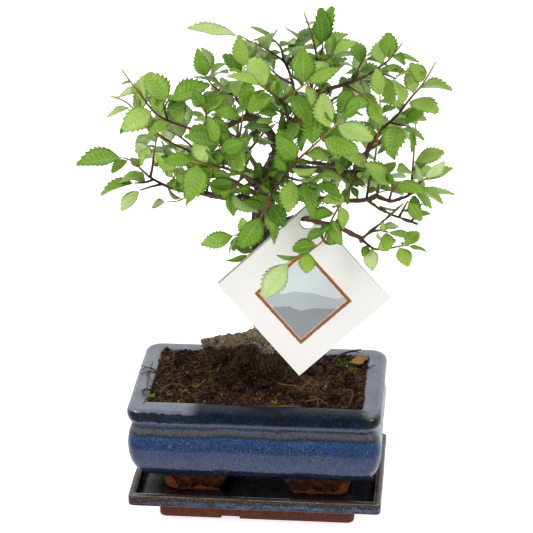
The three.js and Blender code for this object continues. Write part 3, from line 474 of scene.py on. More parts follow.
def finish_piece(obj, name, skin=None, nodes=(), sharp=None):
    """Coats, smooths and names a piece, seats it in the frame, and lets it stand for CAD nodes.

    Edges stay sharp past an angle in degrees, where one is given; at 0 the faces stay flat.
    """
    take(obj)
    if skin:
        coat(obj, skin)
    if sharp is None:
        bpy.ops.object.shade_smooth()
    elif sharp:
        bpy.ops.object.shade_smooth_by_angle(angle=math.radians(sharp))
    bpy.ops.object.transform_apply(location=True, rotation=True, scale=True)
    obj.name = obj.data.name = name
    if nodes:
        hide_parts(*nodes)
    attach(obj, "root")
    return obj


def stretch_of(points, t):
    """The stretch of a line of points that t from 0 to 1 falls in, and how far along it."""
    last = len(points) - 1
    whole = min(int(t * last), last - 1)
    return whole, t * last - whole


def bend_through(points, t):
    """The place on a smooth line through points at t from 0 to 1, each stretch having an equal share."""
    whole, f = stretch_of(points, t)
    b, c = points[whole], points[whole + 1]
    a = points[whole - 1] if whole else 2 * b - c
    d = points[whole + 2] if whole + 2 < len(points) else 2 * c - b
    bend = (2 * a - 5 * b + 4 * c - d) * f**2 + (3 * b - a - 3 * c + d) * f**3
    return (2 * b + (c - a) * f + bend) / 2


def along(points, t):
    """The place on a line of straight stretches at t from 0 to 1, each having an equal share."""
    whole, f = stretch_of(points, t)
    return points[whole] * (1 - f) + points[whole + 1] * f


def eased(profile, steps=4):
    """A profile of (inset, height) with smooth steps put in between."""
    points = [np.array(point, float) for point in profile]
    count = (len(points) - 1) * steps
    return [tuple(bend_through(points, i / count)) for i in range(count + 1)]


# A raised body's corners lose this share of its inset, down to a least radius in millimetres
TIGHTER_CORNERS = 0.6
LEAST_CORNER = 0.8
# Length of the drill in millimetres
DRILL_LENGTH = 20


def raised(half_x, half_y, corner, profile, corner_steps=8, side_cuts=12):
    """A closed body drawn up through a profile of (inset, height), with tighter corners further in."""
    deselect_all()
    bpy.ops.mesh.primitive_plane_add(size=2)
    obj = bpy.context.object
    edit(obj)
    bpy.ops.transform.resize(value=(half_x, half_y, 1))
    bpy.ops.mesh.bevel(offset=corner, segments=corner_steps, affect="VERTICES")
    if side_cuts:
        pick(obj, "edges", lambda edge: edge.calc_length() > corner)
        bpy.ops.mesh.subdivide(number_cuts=side_cuts)
    bpy.ops.mesh.select_mode(type="FACE")
    bpy.ops.mesh.select_all(action="SELECT")
    for _ in profile[1:]:
        bpy.ops.mesh.extrude_region_move(TRANSFORM_OT_translate={"value": (0, 0, 1)})
    bpy.ops.mesh.select_all(action="SELECT")
    bpy.ops.mesh.normals_make_consistent(inside=False)
    leave_edit()
    points = positions(obj.data)
    inset, height = np.array(profile)[np.rint(points[:, 2]).astype(int)].T[:, :, None]
    core = np.array([half_x - corner, half_y - corner])
    nearest = np.clip(points[:, :2], -core, core)
    radius = np.maximum(corner - TIGHTER_CORNERS * inset, LEAST_CORNER)
    stretched = nearest * (np.array([half_x, half_y]) - inset - radius) / core
    outline = stretched + (points[:, :2] - nearest) * radius / corner
    place(obj.data, MIDDLE + np.hstack([outline, height]) * MM)
    return obj


def block(x, y, z, narrow_x=1, narrow_y=1):
    """A block between pairs of limits, narrower at its top where asked, as a tool to cut with."""
    deselect_all()
    low, high = np.array([x, y, z]).T
    middle = spot((low + high) / 2)
    bpy.ops.mesh.primitive_cube_add(size=1, location=middle, scale=(high - low) * MM)
    obj = bpy.context.object
    bpy.ops.object.transform_apply(location=True, rotation=True, scale=True)
    edit(obj)
    pick(obj, "verts", lambda vertex: vertex.co.z > middle[2])
    bpy.ops.transform.resize(value=(narrow_x, narrow_y, 1))
    leave_edit()
    return obj


def drill(obj, place_at, radius, vertices, rotation=(0, 0, 0)):
    """Cuts a round hole through an object at a place in millimetres."""
    deselect_all()
    size = {"vertices": vertices, "radius": radius * MM, "depth": DRILL_LENGTH * MM}
    bpy.ops.mesh.primitive_cylinder_add(**size, location=spot(place_at), rotation=rotation)
    cut(obj, bpy.context.object)


def tubes(lines, sides):
    """Round tubes along lines of points and radii in metres, as one mesh."""
    curve = bpy.data.curves.new("tubes", "CURVE")
    curve.dimensions = "3D"
    curve.bevel_depth = 1
    curve.bevel_resolution = (sides - 4) // 2
    curve.use_fill_caps = True
    for points, radii in lines:
        spline = curve.splines.new("POLY")
        spline.points.add(len(points) - 1)
        for knot, point, radius in zip(spline.points, points, radii):
            knot.co = (*point, 1)
            knot.radius = radius
    take(link("tubes", curve))
    bpy.ops.object.convert(target="MESH")
    obj = bpy.context.object
    select_all_of(obj)
    bpy.ops.mesh.remove_doubles(threshold=1e-6)
    bpy.ops.mesh.normals_make_consistent(inside=False)
    leave_edit()
    return obj


def run_of(points):
    """The length of a line of straight stretches."""
    return sum(np.linalg.norm(b - a) for a, b in zip(points, points[1:]))


def smooth_line(points, radii, step):
    """Places and radii in metres on a smooth line through points in millimetres."""
    if len(radii) == 2 < len(points):
        radii = np.linspace(radii[0], radii[1], len(points))
    knots = [np.array([*point, radius], float) for point, radius in zip(points, radii)]
    count = max(2, round(run_of([knot[:3] for knot in knots]) / step))
    line = [bend_through(knots, i / count) for i in range(count + 1)]
    return [spot(knot[:3]) for knot in line], [knot[3] * MM for knot in line]


# Finishes


class Finish:
    """A procedural material, painted layer over layer, with short ways to add its nodes."""

    def __init__(self, name, **sockets):
        self.material = bpy.data.materials.new(name)
        self.material.use_nodes = True
        tree = self.material.node_tree
        self.nodes, self.links = tree.nodes, tree.links
        self.shader = self.nodes["Principled BSDF"]
        for key, value in sockets.items():
            self.shader.inputs[key.replace("_", " ").title().replace("Ior", "IOR")].default_value = value
        self.spot = self.add("ShaderNodeTexCoord").outputs["Object"]
        self.tint = None

    def add(self, kind, sockets=(), **settings):
        node = self.nodes.new(kind)
        for key, value in settings.items():
            setattr(node, key, value)
        for key, value in dict(sockets).items():
            self.feed(node.inputs[key], value)
        return node

    def feed(self, socket, value):
        if isinstance(value, bpy.types.NodeSocket):
            self.links.new(value, socket)
        else:
            socket.default_value = (*hue(value), 1) if socket.type == "RGBA" else value

    def noise(self, scale, detail=3, rough=0.55, stretch=(1, 1, 1), shift=(0, 0, 0), warp=0):
        vector = self.spot
        if stretch != (1, 1, 1) or shift != (0, 0, 0):
            sockets = {"Vector": vector, "Scale": stretch, "Location": shift}
            vector = self.add("ShaderNodeMapping", sockets).outputs["Vector"]
        sockets = {"Vector": vector, "Scale": scale, "Detail": detail, "Roughness": rough, "Distortion": warp}
        return self.add("ShaderNodeTexNoise", sockets).outputs["Fac"]

    def calc(self, kind, a, b=0.0):
        return self.add("ShaderNodeMath", {0: a, 1: b}, operation=kind).outputs[0]

    def times(self, *values):
        return reduce(lambda a, b: self.calc("MULTIPLY", a, b), values)

    def plus(self, *values):
        return reduce(lambda a, b: self.calc("ADD", a, b), values)

    def minus(self, a, b):
        return self.calc("SUBTRACT", a, b)

    def off(self, value, middle):
        """How far a value is from a middle one, either way."""
        return self.calc("ABSOLUTE", self.minus(value, middle))

    def swing(self, value, amount):
        """Noise from 0 to 1 as a swing about zero."""
        return self.times(self.minus(value, 0.5), amount)

    def band(self, value, low, high, out_low=0.0, out_high=1.0):
        """out_low where a value is below low and out_high above high, eased in between."""
        sockets = {0: value, 1: low, 2: high, 3: out_low, 4: out_high}
        return self.add("ShaderNodeMapRange", sockets, interpolation_type="SMOOTHSTEP").outputs[0]

    def patches(self, low, high, scale, detail=3, rough=0.55, out=(0, 1), **where):
        """Patches where noise is over a level, their edges eased between low and high."""
        return self.band(self.noise(scale, detail, rough, **where), low, high, *out)

    def mix(self, share, a, b):
        return self.add("ShaderNodeMix", {0: share, 6: a, 7: b}, data_type="RGBA").outputs[2]

    def lay(self, share, tint):
        """Lays a colour over what is painted so far."""
        self.tint = self.mix(share, self.tint, tint)

    def ramp(self, value, stops):
        node = self.add("ShaderNodeValToRGB", {"Fac": value})
        bar = node.color_ramp.elements
        while len(bar) < len(stops):
            bar.new(0.5)
        for element, (place_on_bar, tint) in zip(bar, stops):
            element.position = place_on_bar
            element.color = (*hue(tint), 1)
        return node.outputs["Color"]

    def bump(self, height, strength, depth, onto=None):
        sockets = {"Height": height, "Strength": strength, "Distance": depth}
        if onto:
            sockets["Normal"] = onto
        return self.add("ShaderNodeBump", sockets).outputs["Normal"]

    def parts(self, uv_map=None):
        """The three parts of the place on the object, or of a map on its faces."""
        vector = self.add("ShaderNodeUVMap", uv_map=uv_map).outputs["UV"] if uv_map else self.spot
        return self.add("ShaderNodeSeparateXYZ", {0: vector}).outputs

    def value_of(self, attribute):
        return self.add("ShaderNodeAttribute", attribute_name=attribute).outputs["Fac"]

    def done(self, rough=None, relief=None):
        """The material. Roughness may be given as (scale, detail, least, most) of noise, relief as noise,
        strength and depth."""
        if isinstance(rough, tuple):
            rough = self.patches(0.3, 0.7, *rough[:2], out=rough[2:])
        if isinstance(relief, tuple):
            relief = self.bump(self.noise(*relief[:-2]), *relief[-2:])
        for key, value in (("Base Color", self.tint), ("Roughness", rough), ("Normal", relief)):
            if value is not None:
                self.feed(self.shader.inputs[key], value)
        return self.material


# Heights in metres between which the glaze's colours lie
POT_FOOT = 0.030
POT_LIP = 0.083


def glaze(pot):
    """Blue reduction glaze, whose colours lie in bands by height, with specks that float in it."""
    f = Finish("blue glaze", roughness=0.2, coat_roughness=0.05)
    across, depth, height = f.parts()
    drift = f.noise(60, stretch=(1, 1, 0.35))
    runs = f.noise(420, 2, stretch=(1, 1, 0.12))
    level = f.plus(height, f.swing(drift, 0.004), f.swing(runs, 0.002))
    share = f.add("ShaderNodeMapRange", {0: level, 1: POT_FOOT, 2: POT_LIP}).outputs[0]
    # The last stops paint the rim's top grey: thin glaze lightened as a painted reflection of the bright
    # room.
    f.tint = f.ramp(share, [
        (0.06, pot.navy), (0.15, "121a35"), (0.19, "0a0f20"), (0.215, pot.slate), (0.3, pot.slate),
        (0.44, "3d4560"), (0.47, pot.cobalt), (0.52, pot.cobalt), (0.61, "163560"), (0.635, "1a2236"),
        (0.66, "4a4846"), (0.70, "4f5364"), (0.725, "2f2b29"), (0.75, "4a5065"), (0.80, "525a72"),
        (0.82, pot.navy), (0.915, pot.navy), (0.935, pot.ash_and_sheen), (1.0, pot.ash_and_sheen),
    ])
    f.lay(f.times(f.band(share, 0.92, 0.95), f.patches(0.4, 0.6, 50, 4, 0.6, (0.05, 0.75))), "5b6172")
    # The rim's front, away from its ends, is painted near black with less gloss: a painted dark reflection of
    # the dim room in front.
    from_front = f.plus(f.minus(depth, POT_LOW.y), f.times(drift, 0.004))
    wander = f.plus(across, f.swing(f.noise(70), 0.016))
    from_ends = f.off(wander, MIDDLE[0] + 0.015)
    front = f.times(f.band(from_front, 0.0165, 0.0125), f.band(from_ends, 0.056, 0.044))
    front = f.times(front, f.band(height, 0.071, 0.0745))
    shine = f.band(front, 0, 1, 1, 0.3)
    f.feed(f.shader.inputs["Specular IOR Level"], f.times(shine, 0.5))
    f.feed(f.shader.inputs["Coat Weight"], f.times(shine, 0.4))
    # Painted dark reflection over the rim's front.
    f.lay(f.times(front, 0.95), "070a14")
    dark_zone = f.times(f.band(share, 0.81, 0.83), f.band(share, 0.93, 0.91))
    dark_zone = f.calc("MAXIMUM", dark_zone, front)
    cobalt_zone = f.times(f.band(share, 0.4, 0.5), f.band(share, 0.64, 0.6))
    slate_zone = f.times(f.band(share, 0.2, 0.24), f.band(share, 0.5, 0.44))
    blotches = f.patches(0.48, 0.66, 190, 4, 0.65, stretch=(1, 1, 0.5))
    f.lay(f.times(slate_zone, blotches, 0.6), "33406a")
    cloud = f.band(f.patches(0.4, 0.66, 110), 0, 1, 0.12, 0.6)
    rich = f.calc("MAXIMUM", f.times(dark_zone, cloud), cobalt_zone)
    specks = f.patches(0.56, 0.64, 2200, 1, 0.5)
    f.lay(f.times(specks, f.plus(f.times(rich, 0.38), 0.05)), pot.ice)
    fine = f.patches(0.5, 0.62, 2800, 1, 0.5)
    f.lay(f.times(fine, f.plus(f.times(rich, 0.2), 0.05)), "2b578f")
    dark = f.patches(0.55, 0.64, 1100, 2, 0.6, shift=(3, 1, 2))
    f.lay(f.times(dark, f.band(share, 0.92, 0.94, 0.65, 0.04)), "0b0e18")
    tan = f.times(f.patches(0.58, 0.66, 650, 3, 0.75), f.band(level, 0.071, 0.062))
    tan = f.times(tan, f.patches(0.4, 0.6, 45, 2, out=(0.15, 1), shift=(2, 2, 2)))
    f.lay(f.times(tan, 0.6), "85796a")
    f.lay(f.times(dark_zone, f.patches(0.5, 0.62, 40, 2), 0.5), "12130f")
    uneven = f.times(f.noise(240, 2), f.band(share, 0.92, 0.95, 1, 0.1))
    relief = f.bump(dark, 0.3, -0.0002, f.bump(uneven, 0.2, 0.0005))
    rough = f.patches(0.3, 0.7, 140, out=(0.1, 0.28))
    return f.done(f.calc("MAXIMUM", rough, f.band(share, 0.93, 0.96, 0, 0.36)), relief)


def foot_clay(pot):
    """Rough red clay under dark runs of glaze, bare and orange at its lower edge and corners."""
    f = Finish("foot clay", roughness=0.7)
    f.tint = f.mix(f.noise(300, 4), pot.clay, "6b3018")
    f.lay(f.patches(0.5, 0.66, 900), "c2713c")
    across, _, height = f.parts()
    bare = f.band(f.off(across, MIDDLE[0]), 0.046, 0.053, 0, 0.004)
    level = f.minus(f.plus(height, f.swing(f.noise(130, 4, 0.65), 0.02)), bare)
    runs = f.band(level, 0.0196, 0.0222)
    f.lay(f.times(runs, 0.93), f.mix(f.patches(0.42, 0.66, 200), "1d1413", "5a2e1c"))
    return f.done(f.band(runs, 0, 1, 0.75, 0.2), (1300, 3, 0.5, 0.0006))


def tray_glaze(tray):
    """Thin brown glaze on the tray's edge, with blue runs along its lower half and a painted highlight along
    its top bevel.
    """
    f = Finish("tray glaze", roughness=0.3, coat_weight=0.4, coat_roughness=0.08)
    across, _, height = f.parts()
    wavy = f.plus(height, f.swing(f.noise(260, 3, 0.6, (1, 1, 0.3)), 0.006))
    blue_zone = f.times(f.band(wavy, 0.0158, 0.0172), f.band(wavy, 0.0198, 0.0182))
    f.tint = f.mix(f.noise(500, 4, 0.6), tray.brown, "1d1b1f")
    f.lay(f.band(height, 0.0195, 0.0215, 0, 0.55), "4a372a")
    f.lay(f.patches(0.58, 0.68, 1600, 2), "7d7269")
    # Painted highlight: a pale line along the bevel at the top of the tray's edge, where its gloss would
    # catch the light.
    bevel = f.times(f.band(height, 0.0216, 0.0219), f.band(height, 0.02228, 0.0221))
    f.lay(f.times(bevel, f.patches(0.35, 0.6, 120, out=(0.1, 0.6))), "8d8983")
    blue = f.mix(f.noise(420), "26324a", tray.streak)
    blue = f.mix(f.patches(0.56, 0.68, 1900, 2), blue, "86a6cc")
    patchy = f.patches(0.36, 0.58, 90, 2, 0.6, (0.15, 0.9))
    f.lay(f.times(blue_zone, patchy, f.band(across, MIDDLE[0] - 0.06, MIDDLE[0] - 0.01, 0.35, 1)), blue)
    return f.done((200, 3, 0.18, 0.4), (420, 3, 0.4, 0.0004))


def well_glaze(tray):
    """Dark, glossy glaze inside the tray."""
    f = Finish("tray well glaze", roughness=0.12, coat_weight=0.6, coat_roughness=0.04)
    f.tint = f.mix(f.patches(0.45, 0.7, 120), tray.well, "1b1a24")
    f.lay(f.patches(0.64, 0.72, 2200, 2), "2d3f5e")
    return f.done((180, 2, 0.08, 0.2), (160, 2, 0.3, 0.0005))


def ring_clay(tray):
    """Bare red clay of the tray's foot ring."""
    f = Finish("ring clay", roughness=0.85)
    f.tint = f.mix(f.noise(260, 4), tray.clay, "4e2219")
    f.lay(f.patches(0.55, 0.7, 1500), "94503a")
    return f.done(f.patches(0.2, 0.8, 600, 2, out=(0.75, 0.95)), (1500, 3, 0.5, 0.0004))


def earth(soil):
    """Damp peaty soil, with dark patches, painted shade round the trunk's foot, drier crumbs and a little
    moss.
    """
    f = Finish("potting soil", roughness=0.95, specular_ior_level=0.2)
    f.tint = f.mix(f.patches(0.43, 0.59, 260, 6, 0.75), soil.dark, soil.light)
    f.lay(f.patches(0.57, 0.66, 170, 3, 0.6, (0, 0.6), shift=(2, 6, 1)), "806046")
    f.lay(f.patches(0.48, 0.57, 120, 5, 0.7, (0, 0.85)), "130b06")
    across, depth, _ = f.parts()
    # Painted shade: the soil is darkened round the trunk's foot and under its roots.
    shade = f.band(f.off(across, MIDDLE[0] - 0.002), 0.03, 0.018)
    shade = f.times(shade, f.band(depth, MIDDLE[1] - 0.017, MIDDLE[1] - 0.009))
    f.lay(f.times(shade, f.patches(0.35, 0.55, 140, 4, 0.7, (0.3, 0.85))), "0d0805")
    f.lay(f.patches(0.6, 0.66, 900, 3, 0.7, (0, 0.9)), "a5856a")
    f.lay(f.patches(0.57, 0.66, 700, 3, 0.6, shift=(4, 1, 1)), "6a3a20")
    f.lay(f.patches(0.53, 0.6, 1300, 2, 0.6, shift=(1, 2, 3)), "0b0704")
    sandy = f.band(f.off(across, MIDDLE[0] + 0.024), 0.016, 0.009)
    sandy = f.times(sandy, f.band(f.off(depth, MIDDLE[1] - 0.002), 0.01, 0.005))
    f.lay(f.times(sandy, f.patches(0.42, 0.56, 380, 5, 0.7, (0.05, 0.8))), "8c6e52")
    moss = f.times(f.patches(0.56, 0.66, 45), f.patches(0.45, 0.6, 900))
    f.lay(f.times(moss, 0.5), soil.moss)
    return f.done((300, 2, 0.85, 1.0), (700, 4, 0.7, 1.0, 0.0026))


def plain_fibre(name, low, high, roughness=0.8):
    """A fibre or chip with a streaked, uneven colour."""
    f = Finish(name, roughness=roughness)
    f.tint = f.mix(f.noise(500, 3, 0.6), low, high)
    return f.done((900, 2, roughness - 0.1, roughness), (2500, 2, 0.3, 0.0002))


def old_bark(tree):
    """Grey-brown mottled bark, tan on the roots' tops, gritty low down and earthy at the foot."""
    f = Finish("old bark", roughness=0.9, specular_ior_level=0.25)
    f.tint = f.mix(f.patches(0.35, 0.65, 240, 5, 0.65), tree.bark, "3e332a")
    f.lay(f.patches(0.5, 0.64, 170, 4, 0.6), "a09384")
    cracks = f.patches(0.45, 0.38, 420, 4, 0.7, stretch=(1, 1, 0.45), warp=1.5)
    f.lay(cracks, tree.crack)
    across, _, height = f.parts()
    height = f.plus(height, f.swing(f.noise(110, 4, 0.65), 0.012))
    tan = f.mix(f.patches(0.4, 0.6, 300, 4, 0.7), "b3a182", "7a6750")
    tan = f.mix(f.patches(0.56, 0.64, 500, 3, 0.7, stretch=(0.5, 1, 1)), tan, "3a2d22")
    low = f.band(height, 0.130, 0.112)
    f.lay(f.times(low, f.patches(0.3, 0.45, 160, 4, 0.6, (0.3, 0.92))), tan)
    toward_trunk = f.band(across, MIDDLE[0] - 0.022, MIDDLE[0] - 0.008, 0.35, 1)
    gritty = f.times(f.band(height, 0.110, 0.103), toward_trunk)
    f.lay(f.times(gritty, f.patches(0.36, 0.54, 200, 4, 0.7, (0.25, 0.85))), "4f3d2c")
    black = f.patches(0.52, 0.58, 950, 3, 0.6, shift=(5, 3, 1))
    f.lay(f.times(black, gritty, 0.85), "1c130d")
    pale = f.patches(0.53, 0.58, 1100, 3, 0.6)
    f.lay(f.times(pale, gritty, 0.8), "c9bda6")
    crumbly = f.mix(f.patches(0.44, 0.6, 400, 5, 0.75), "0d0805", "4f3825")
    crumbly = f.mix(f.patches(0.6, 0.66, 1000, 3, 0.7), crumbly, "8f735a")
    near_trunk = f.band(across, MIDDLE[0] - 0.028, MIDDLE[0] - 0.008, 0, 0.006)
    buried = f.band(f.minus(height, near_trunk), 0.0948, 0.0918)
    f.lay(f.times(buried, 0.96), crumbly)
    f.lay(f.patches(0.58, 0.68, 1500, 3, 0.6, shift=(1, 5, 2)), "17110d")
    relief = f.bump(cracks, 0.5, -0.0005, f.bump(f.noise(650, 5, 0.7), 1.0, 0.0018))
    return f.done((400, 2, 0.82, 0.98), relief)


def limb_bark():
    """Darker, finer bark on the limbs, with small pale spots."""
    f = Finish("limb bark", roughness=0.85)
    f.tint = f.mix(f.noise(420, 4, 0.6), "3b2a20", "6d5544")
    f.lay(f.patches(0.6, 0.72, 1300, 2), "a08c78")
    return f.done((700, 2, 0.75, 0.95), (1500, 4, 0.7, 0.0005))


def shoot_bark(tree):
    """Young shoots, brown where they are old and golden at their tips."""
    f = Finish("shoot bark", roughness=0.55)
    age = f.plus(f.value_of("tone"), f.swing(f.noise(600), 0.5))
    f.tint = f.ramp(age, [(0.05, "3d2a1c"), (0.4, "6e4a26"), (0.75, tree.shoot), (1.0, "a98f48")])
    return f.done((900, 2, 0.45, 0.65), (2400, 2, 0.4, 0.0002))


# Side veins on each side of a leaf
VEINS = 9.0


def leaf_skin(tree, is_under):
    """A leaf's green by its tone, with a pale midrib and side veins that follow the blade."""
    f = Finish("leaf underside" if is_under else "leaf", roughness=0.4, specular_ior_level=0.36)
    across, up, _ = f.parts("blade")
    side = f.times(f.off(across, 0.5), 2.0)
    sweep = f.minus(up, f.times(side, 0.2))
    apart = f.times(f.off(f.calc("FRACT", f.times(sweep, VEINS)), 0.5), 2.0)
    vein = f.times(f.band(apart, 0.7, 0.96), f.band(side, 1.0, 0.8))
    lines = f.calc("MAXIMUM", f.times(vein, 0.55), f.band(side, 0.11, 0.03))
    between = f.times(f.band(apart, 0.7, 0.1), f.band(side, 1.0, 0.7))
    mottled = f.plus(f.value_of("tone"), f.swing(f.noise(160), 0.3))
    mottled = f.minus(mottled, f.times(between, 0.06))
    # The darkest stops are partly painted shade for leaves deep in the crown; the whitish last stop is a
    # painted sheen on the palest leaves.
    stops = [(0.0, "437216"), (0.2, tree.deep), (0.5, tree.fresh), (0.78, tree.lime), (1.0, "c0d694")]
    f.tint = f.ramp(mottled, stops)
    if is_under:
        f.lay(0.4, tree.under)
    f.lay(f.times(lines, 0.7 if is_under else 0.3), "c3d5a2" if is_under else "b4c878")
    f.lay(f.band(up, 0.1, 0.05), "a09a48")
    quilt = f.times(f.minus(1.0, apart), f.band(side, 1.0, 0.6))
    relief = f.bump(lines, 0.5, 0.0002 if is_under else -0.0002, f.bump(quilt, 0.4, 0.0004))
    return f.done((90, 2, 0.26, 0.46), relief)


# Where the picture's middle lies on the card's map, across and up
PICTURE_MIDDLE = 0.47


def printed_card(tag):
    """The tag's face: a thin brown frame round grey hills under a pale sky."""
    f = Finish("printed card", roughness=0.45, coat_weight=0.15)
    u, v, _ = f.parts("face")
    edge = f.calc("MAXIMUM", *(f.off(part, PICTURE_MIDDLE) for part in (u, v)))
    edge = f.plus(edge, f.swing(f.noise(500), 0.012))
    inside = f.band(edge, 0.252, 0.248)
    framed = f.times(f.band(edge, 0.252, 0.256), f.band(edge, 0.284, 0.280))
    f.tint = f.mix(f.noise(14, 2), tag.paper, "eceae6")
    f.lay(inside, tag.mist)
    rise = f.minus(f.plus(u, v), 2 * PICTURE_MIDDLE)
    for grain, swell, low, tint in ((38, 0.34, 0.16, "aeb4b8"), (60, 0.3, 0.3, tag.hill)):
        hill = f.minus(rise, f.minus(f.times(f.noise(grain, 2), swell), low))
        f.lay(f.times(inside, f.band(hill, 0.004, -0.004)), tint)
    f.lay(framed, tag.frame)
    return f.done((300, 2, 0.4, 0.5), (2600, 2, 0.1, 0.0001))


def bare_card(name, low, high):
    """Unprinted card between two colours; as the tag's inner face, its grey is painted shade."""
    f = Finish(name, roughness=0.6)
    f.tint = f.mix(f.noise(30, 2), low, high)
    return f.done((300, 2, 0.55, 0.68), (2600, 2, 0.15, 0.0001))


# Pot and tray

# The pot's drain holes, and its feet: how far they reach, their wall, and their arches' heights
DRAIN_SPACING = 32
DRAIN_RADIUS = 5
FOOT_REACH = (57, 31.5)
FOOT_WALL = 8
FOOT_ARCH = (16, 30.5)
# The tray's foot ring: how far it reaches, its wall, and its notches' heights
RING_REACH = (59, 30.5)
RING_WALL = 6
RING_NOTCH = (-1, 1.8)
# In metres, how far the tray's edge reaches in, and a height that its well's floor lies just above
TRAY_EDGE = 0.0043
TRAY_DISH = 0.0175


def make_pot(pot):
    """Body, lip and four bracket feet, with two drain holes."""
    profile = eased([
        (24, 31), (15, 31.4), (8, 34.3), (3.2, 40), (0.8, 46.5), (0, 53), (0.2, 58.5), (1.3, 63.6),
        (2.7, 67.4), (3.1, 69), (1.7, 70.2), (0.5, 72.6), (0, 76), (0.7, 78.8), (2.8, 80.5), (6, 81),
        (9.4, 80.9), (11, 80.2), (11.6, 78.4), (11.8, 74), (11.6, 69), (9.4, 64), (8, 54), (9, 44),
        (13, 38), (24, 37.5),
    ])
    body = raised(pot.half_length / MM, pot.half_width / MM, pot.corner / MM, profile)
    for side in (-DRAIN_SPACING, DRAIN_SPACING):
        drill(body, (side, 0, 33), DRAIN_RADIUS, 32)
    knead(body, 0.00025, 0.03)
    half_x, half_y = FOOT_REACH
    feet = raised(half_x, half_y, 8, [(3, 18.3), (2, 20), (1.2, 23), (0.4, 27), (0, 33)], 6, 20)
    cut(
        feet,
        raised(half_x - FOOT_WALL, half_y - FOOT_WALL, 5, [(0, 17), (0, 31)], 4, 0),
        block((-24, 24), (-40, 40), FOOT_ARCH, narrow_x=2 / 3),
        block((-70, 70), (-20, 20), FOOT_ARCH, narrow_y=12 / 20),
    )
    apply(feet, "BEVEL", width=0.0012, segments=3, limit_method="ANGLE", angle_limit=math.radians(40))
    apply(feet, "REMESH", mode="VOXEL", voxel_size=0.0008)
    knead(feet, 0.0005, 0.006)
    coat(body, glaze(pot))
    coat(feet, foot_clay(pot))
    return finish_piece(join(body, feet), "glazed_pot", nodes=["pot"], sharp=50)


def make_tray(tray):
    """A shallow dish with an upright edge, on a clay foot ring."""
    profile = [
        (24, 12), (18, 12), (9, 13), (1.5, 15), (0.4, 15.4), (0, 16), (0, 18.8), (0, 21.3), (0.2, 21.9),
        (0.7, 22.3), (2.2, 22.35), (3.6, 22.2), (4.3, 21.8), (4.7, 21), (5.1, 19.6), (5.8, 18.6), (7.4, 18.1),
        (9, 18), (20, 17.9),
    ]
    dish = raised(tray.half_length / MM, tray.half_width / MM, 2.8, profile, 6, 24)
    coat(dish, tray_glaze(tray), well_glaze(tray))
    edit(dish)
    pick(dish, "faces", lambda face: is_inside_tray(face.calc_center_median() - Vector(MIDDLE), tray))
    dish.active_material_index = 1
    bpy.ops.object.material_slot_assign()
    leave_edit()
    knead(dish, 0.0003, 0.025)
    half_x, half_y = RING_REACH
    ring = raised(half_x, half_y, 4, [(1, 0), (0.3, 0.4), (0, 1.2), (0, 13)], 5, 20)
    cut(
        ring,
        raised(half_x - RING_WALL, half_y - RING_WALL, 3, [(0, -1), (0, 12)], 4, 0),
        block((-70, 70), (-5.5, 5.5), RING_NOTCH),
        block((-21.1, -10.1), (-40, 40), RING_NOTCH),
    )
    apply(ring, "BEVEL", width=0.0006, segments=2, limit_method="ANGLE", angle_limit=math.radians(40))
    coat(ring, ring_clay(tray))
    return finish_piece(join(dish, ring), "glazed_tray", nodes=["saucer"], sharp=40)


def is_inside_tray(point, tray):
    """Whether a place, from the pot's middle, is on the dish's upper side and inside its edge."""
    is_within = abs(point.x) < tray.half_length - TRAY_EDGE and abs(point.y) < tray.half_width - TRAY_EDGE
    return is_within and point.z > TRAY_DISH


# Soil and what lies on it

# The soil bed's half sides and its depth, in metres
BED_HALF_X = 0.0644
BED_HALF_Y = 0.0364
BED_DEPTH = 0.008
# How far from the middle a fibre or blade may stand, in millimetres
STRAW_LIMITS = (63, 35)
BLADE_LIMITS = (63, 35.5)
# A little over a full turn, for headings and turns that are drawn
FULL_TURN = 6.3
# Kinds of crumb: name, how many crumbs there are to one of them, least size, spread of sizes, and roundness
CRUMBS = [("crumbs", 1, 0.6, 2.2, 1), ("clods", 12, 2.2, 3.0, 3), ("pale_crumbs", 3, 0.4, 1.0, 1)]
# Fibres read from the photograph, in millimetres, each with its radius
STRAWS = [
    ([(-67.4, 18, 80.6), (-67.2, 6, 81.4), (-66.4, -12, 81.4), (-64.4, -30, 80.4), (-64, -35, 79.6)], 0.35),
    ([(-8.5, -34.7, 79), (5, -35.4, 79.9), (21, -35.2, 80.2), (36, -35.4, 79.4)], 0.4),
    ([(9, -35.9, 79.4), (20, -34.3, 80.6), (27, -31.3, 79.2)], 0.25),
    ([(11.6, -5.9, 80.4), (17, -9, 81), (23.2, -9, 80.6), (26, -13, 79.4)], 0.4),
    ([(29.4, -26.9, 79.6), (34, -27, 80.8), (38, -24.9, 80.4), (43, -29, 79)], 0.3),
    ([(37.4, -31.4, 79.2), (36, -24, 80.8), (31, -20, 79.4)], 0.25),
    ([(52.1, -12.1, 79.6), (55, -12, 81.2), (57, -18.3, 80.8), (56, -26, 80), (55, -31.3, 78.8)], 0.25),
    ([(-37, -13.6, 79.4), (-33, -8, 81), (-32.1, -3.9, 80.4)], 0.3),
    ([(-26, 4, 82), (-25.4, 6, 84.4), (-24.6, 10.3, 84)], 0.35),
    ([(-58, -20, 79), (-54, -14, 80.8), (-47, -12, 80.6), (-42, -15, 79)], 0.2),
]
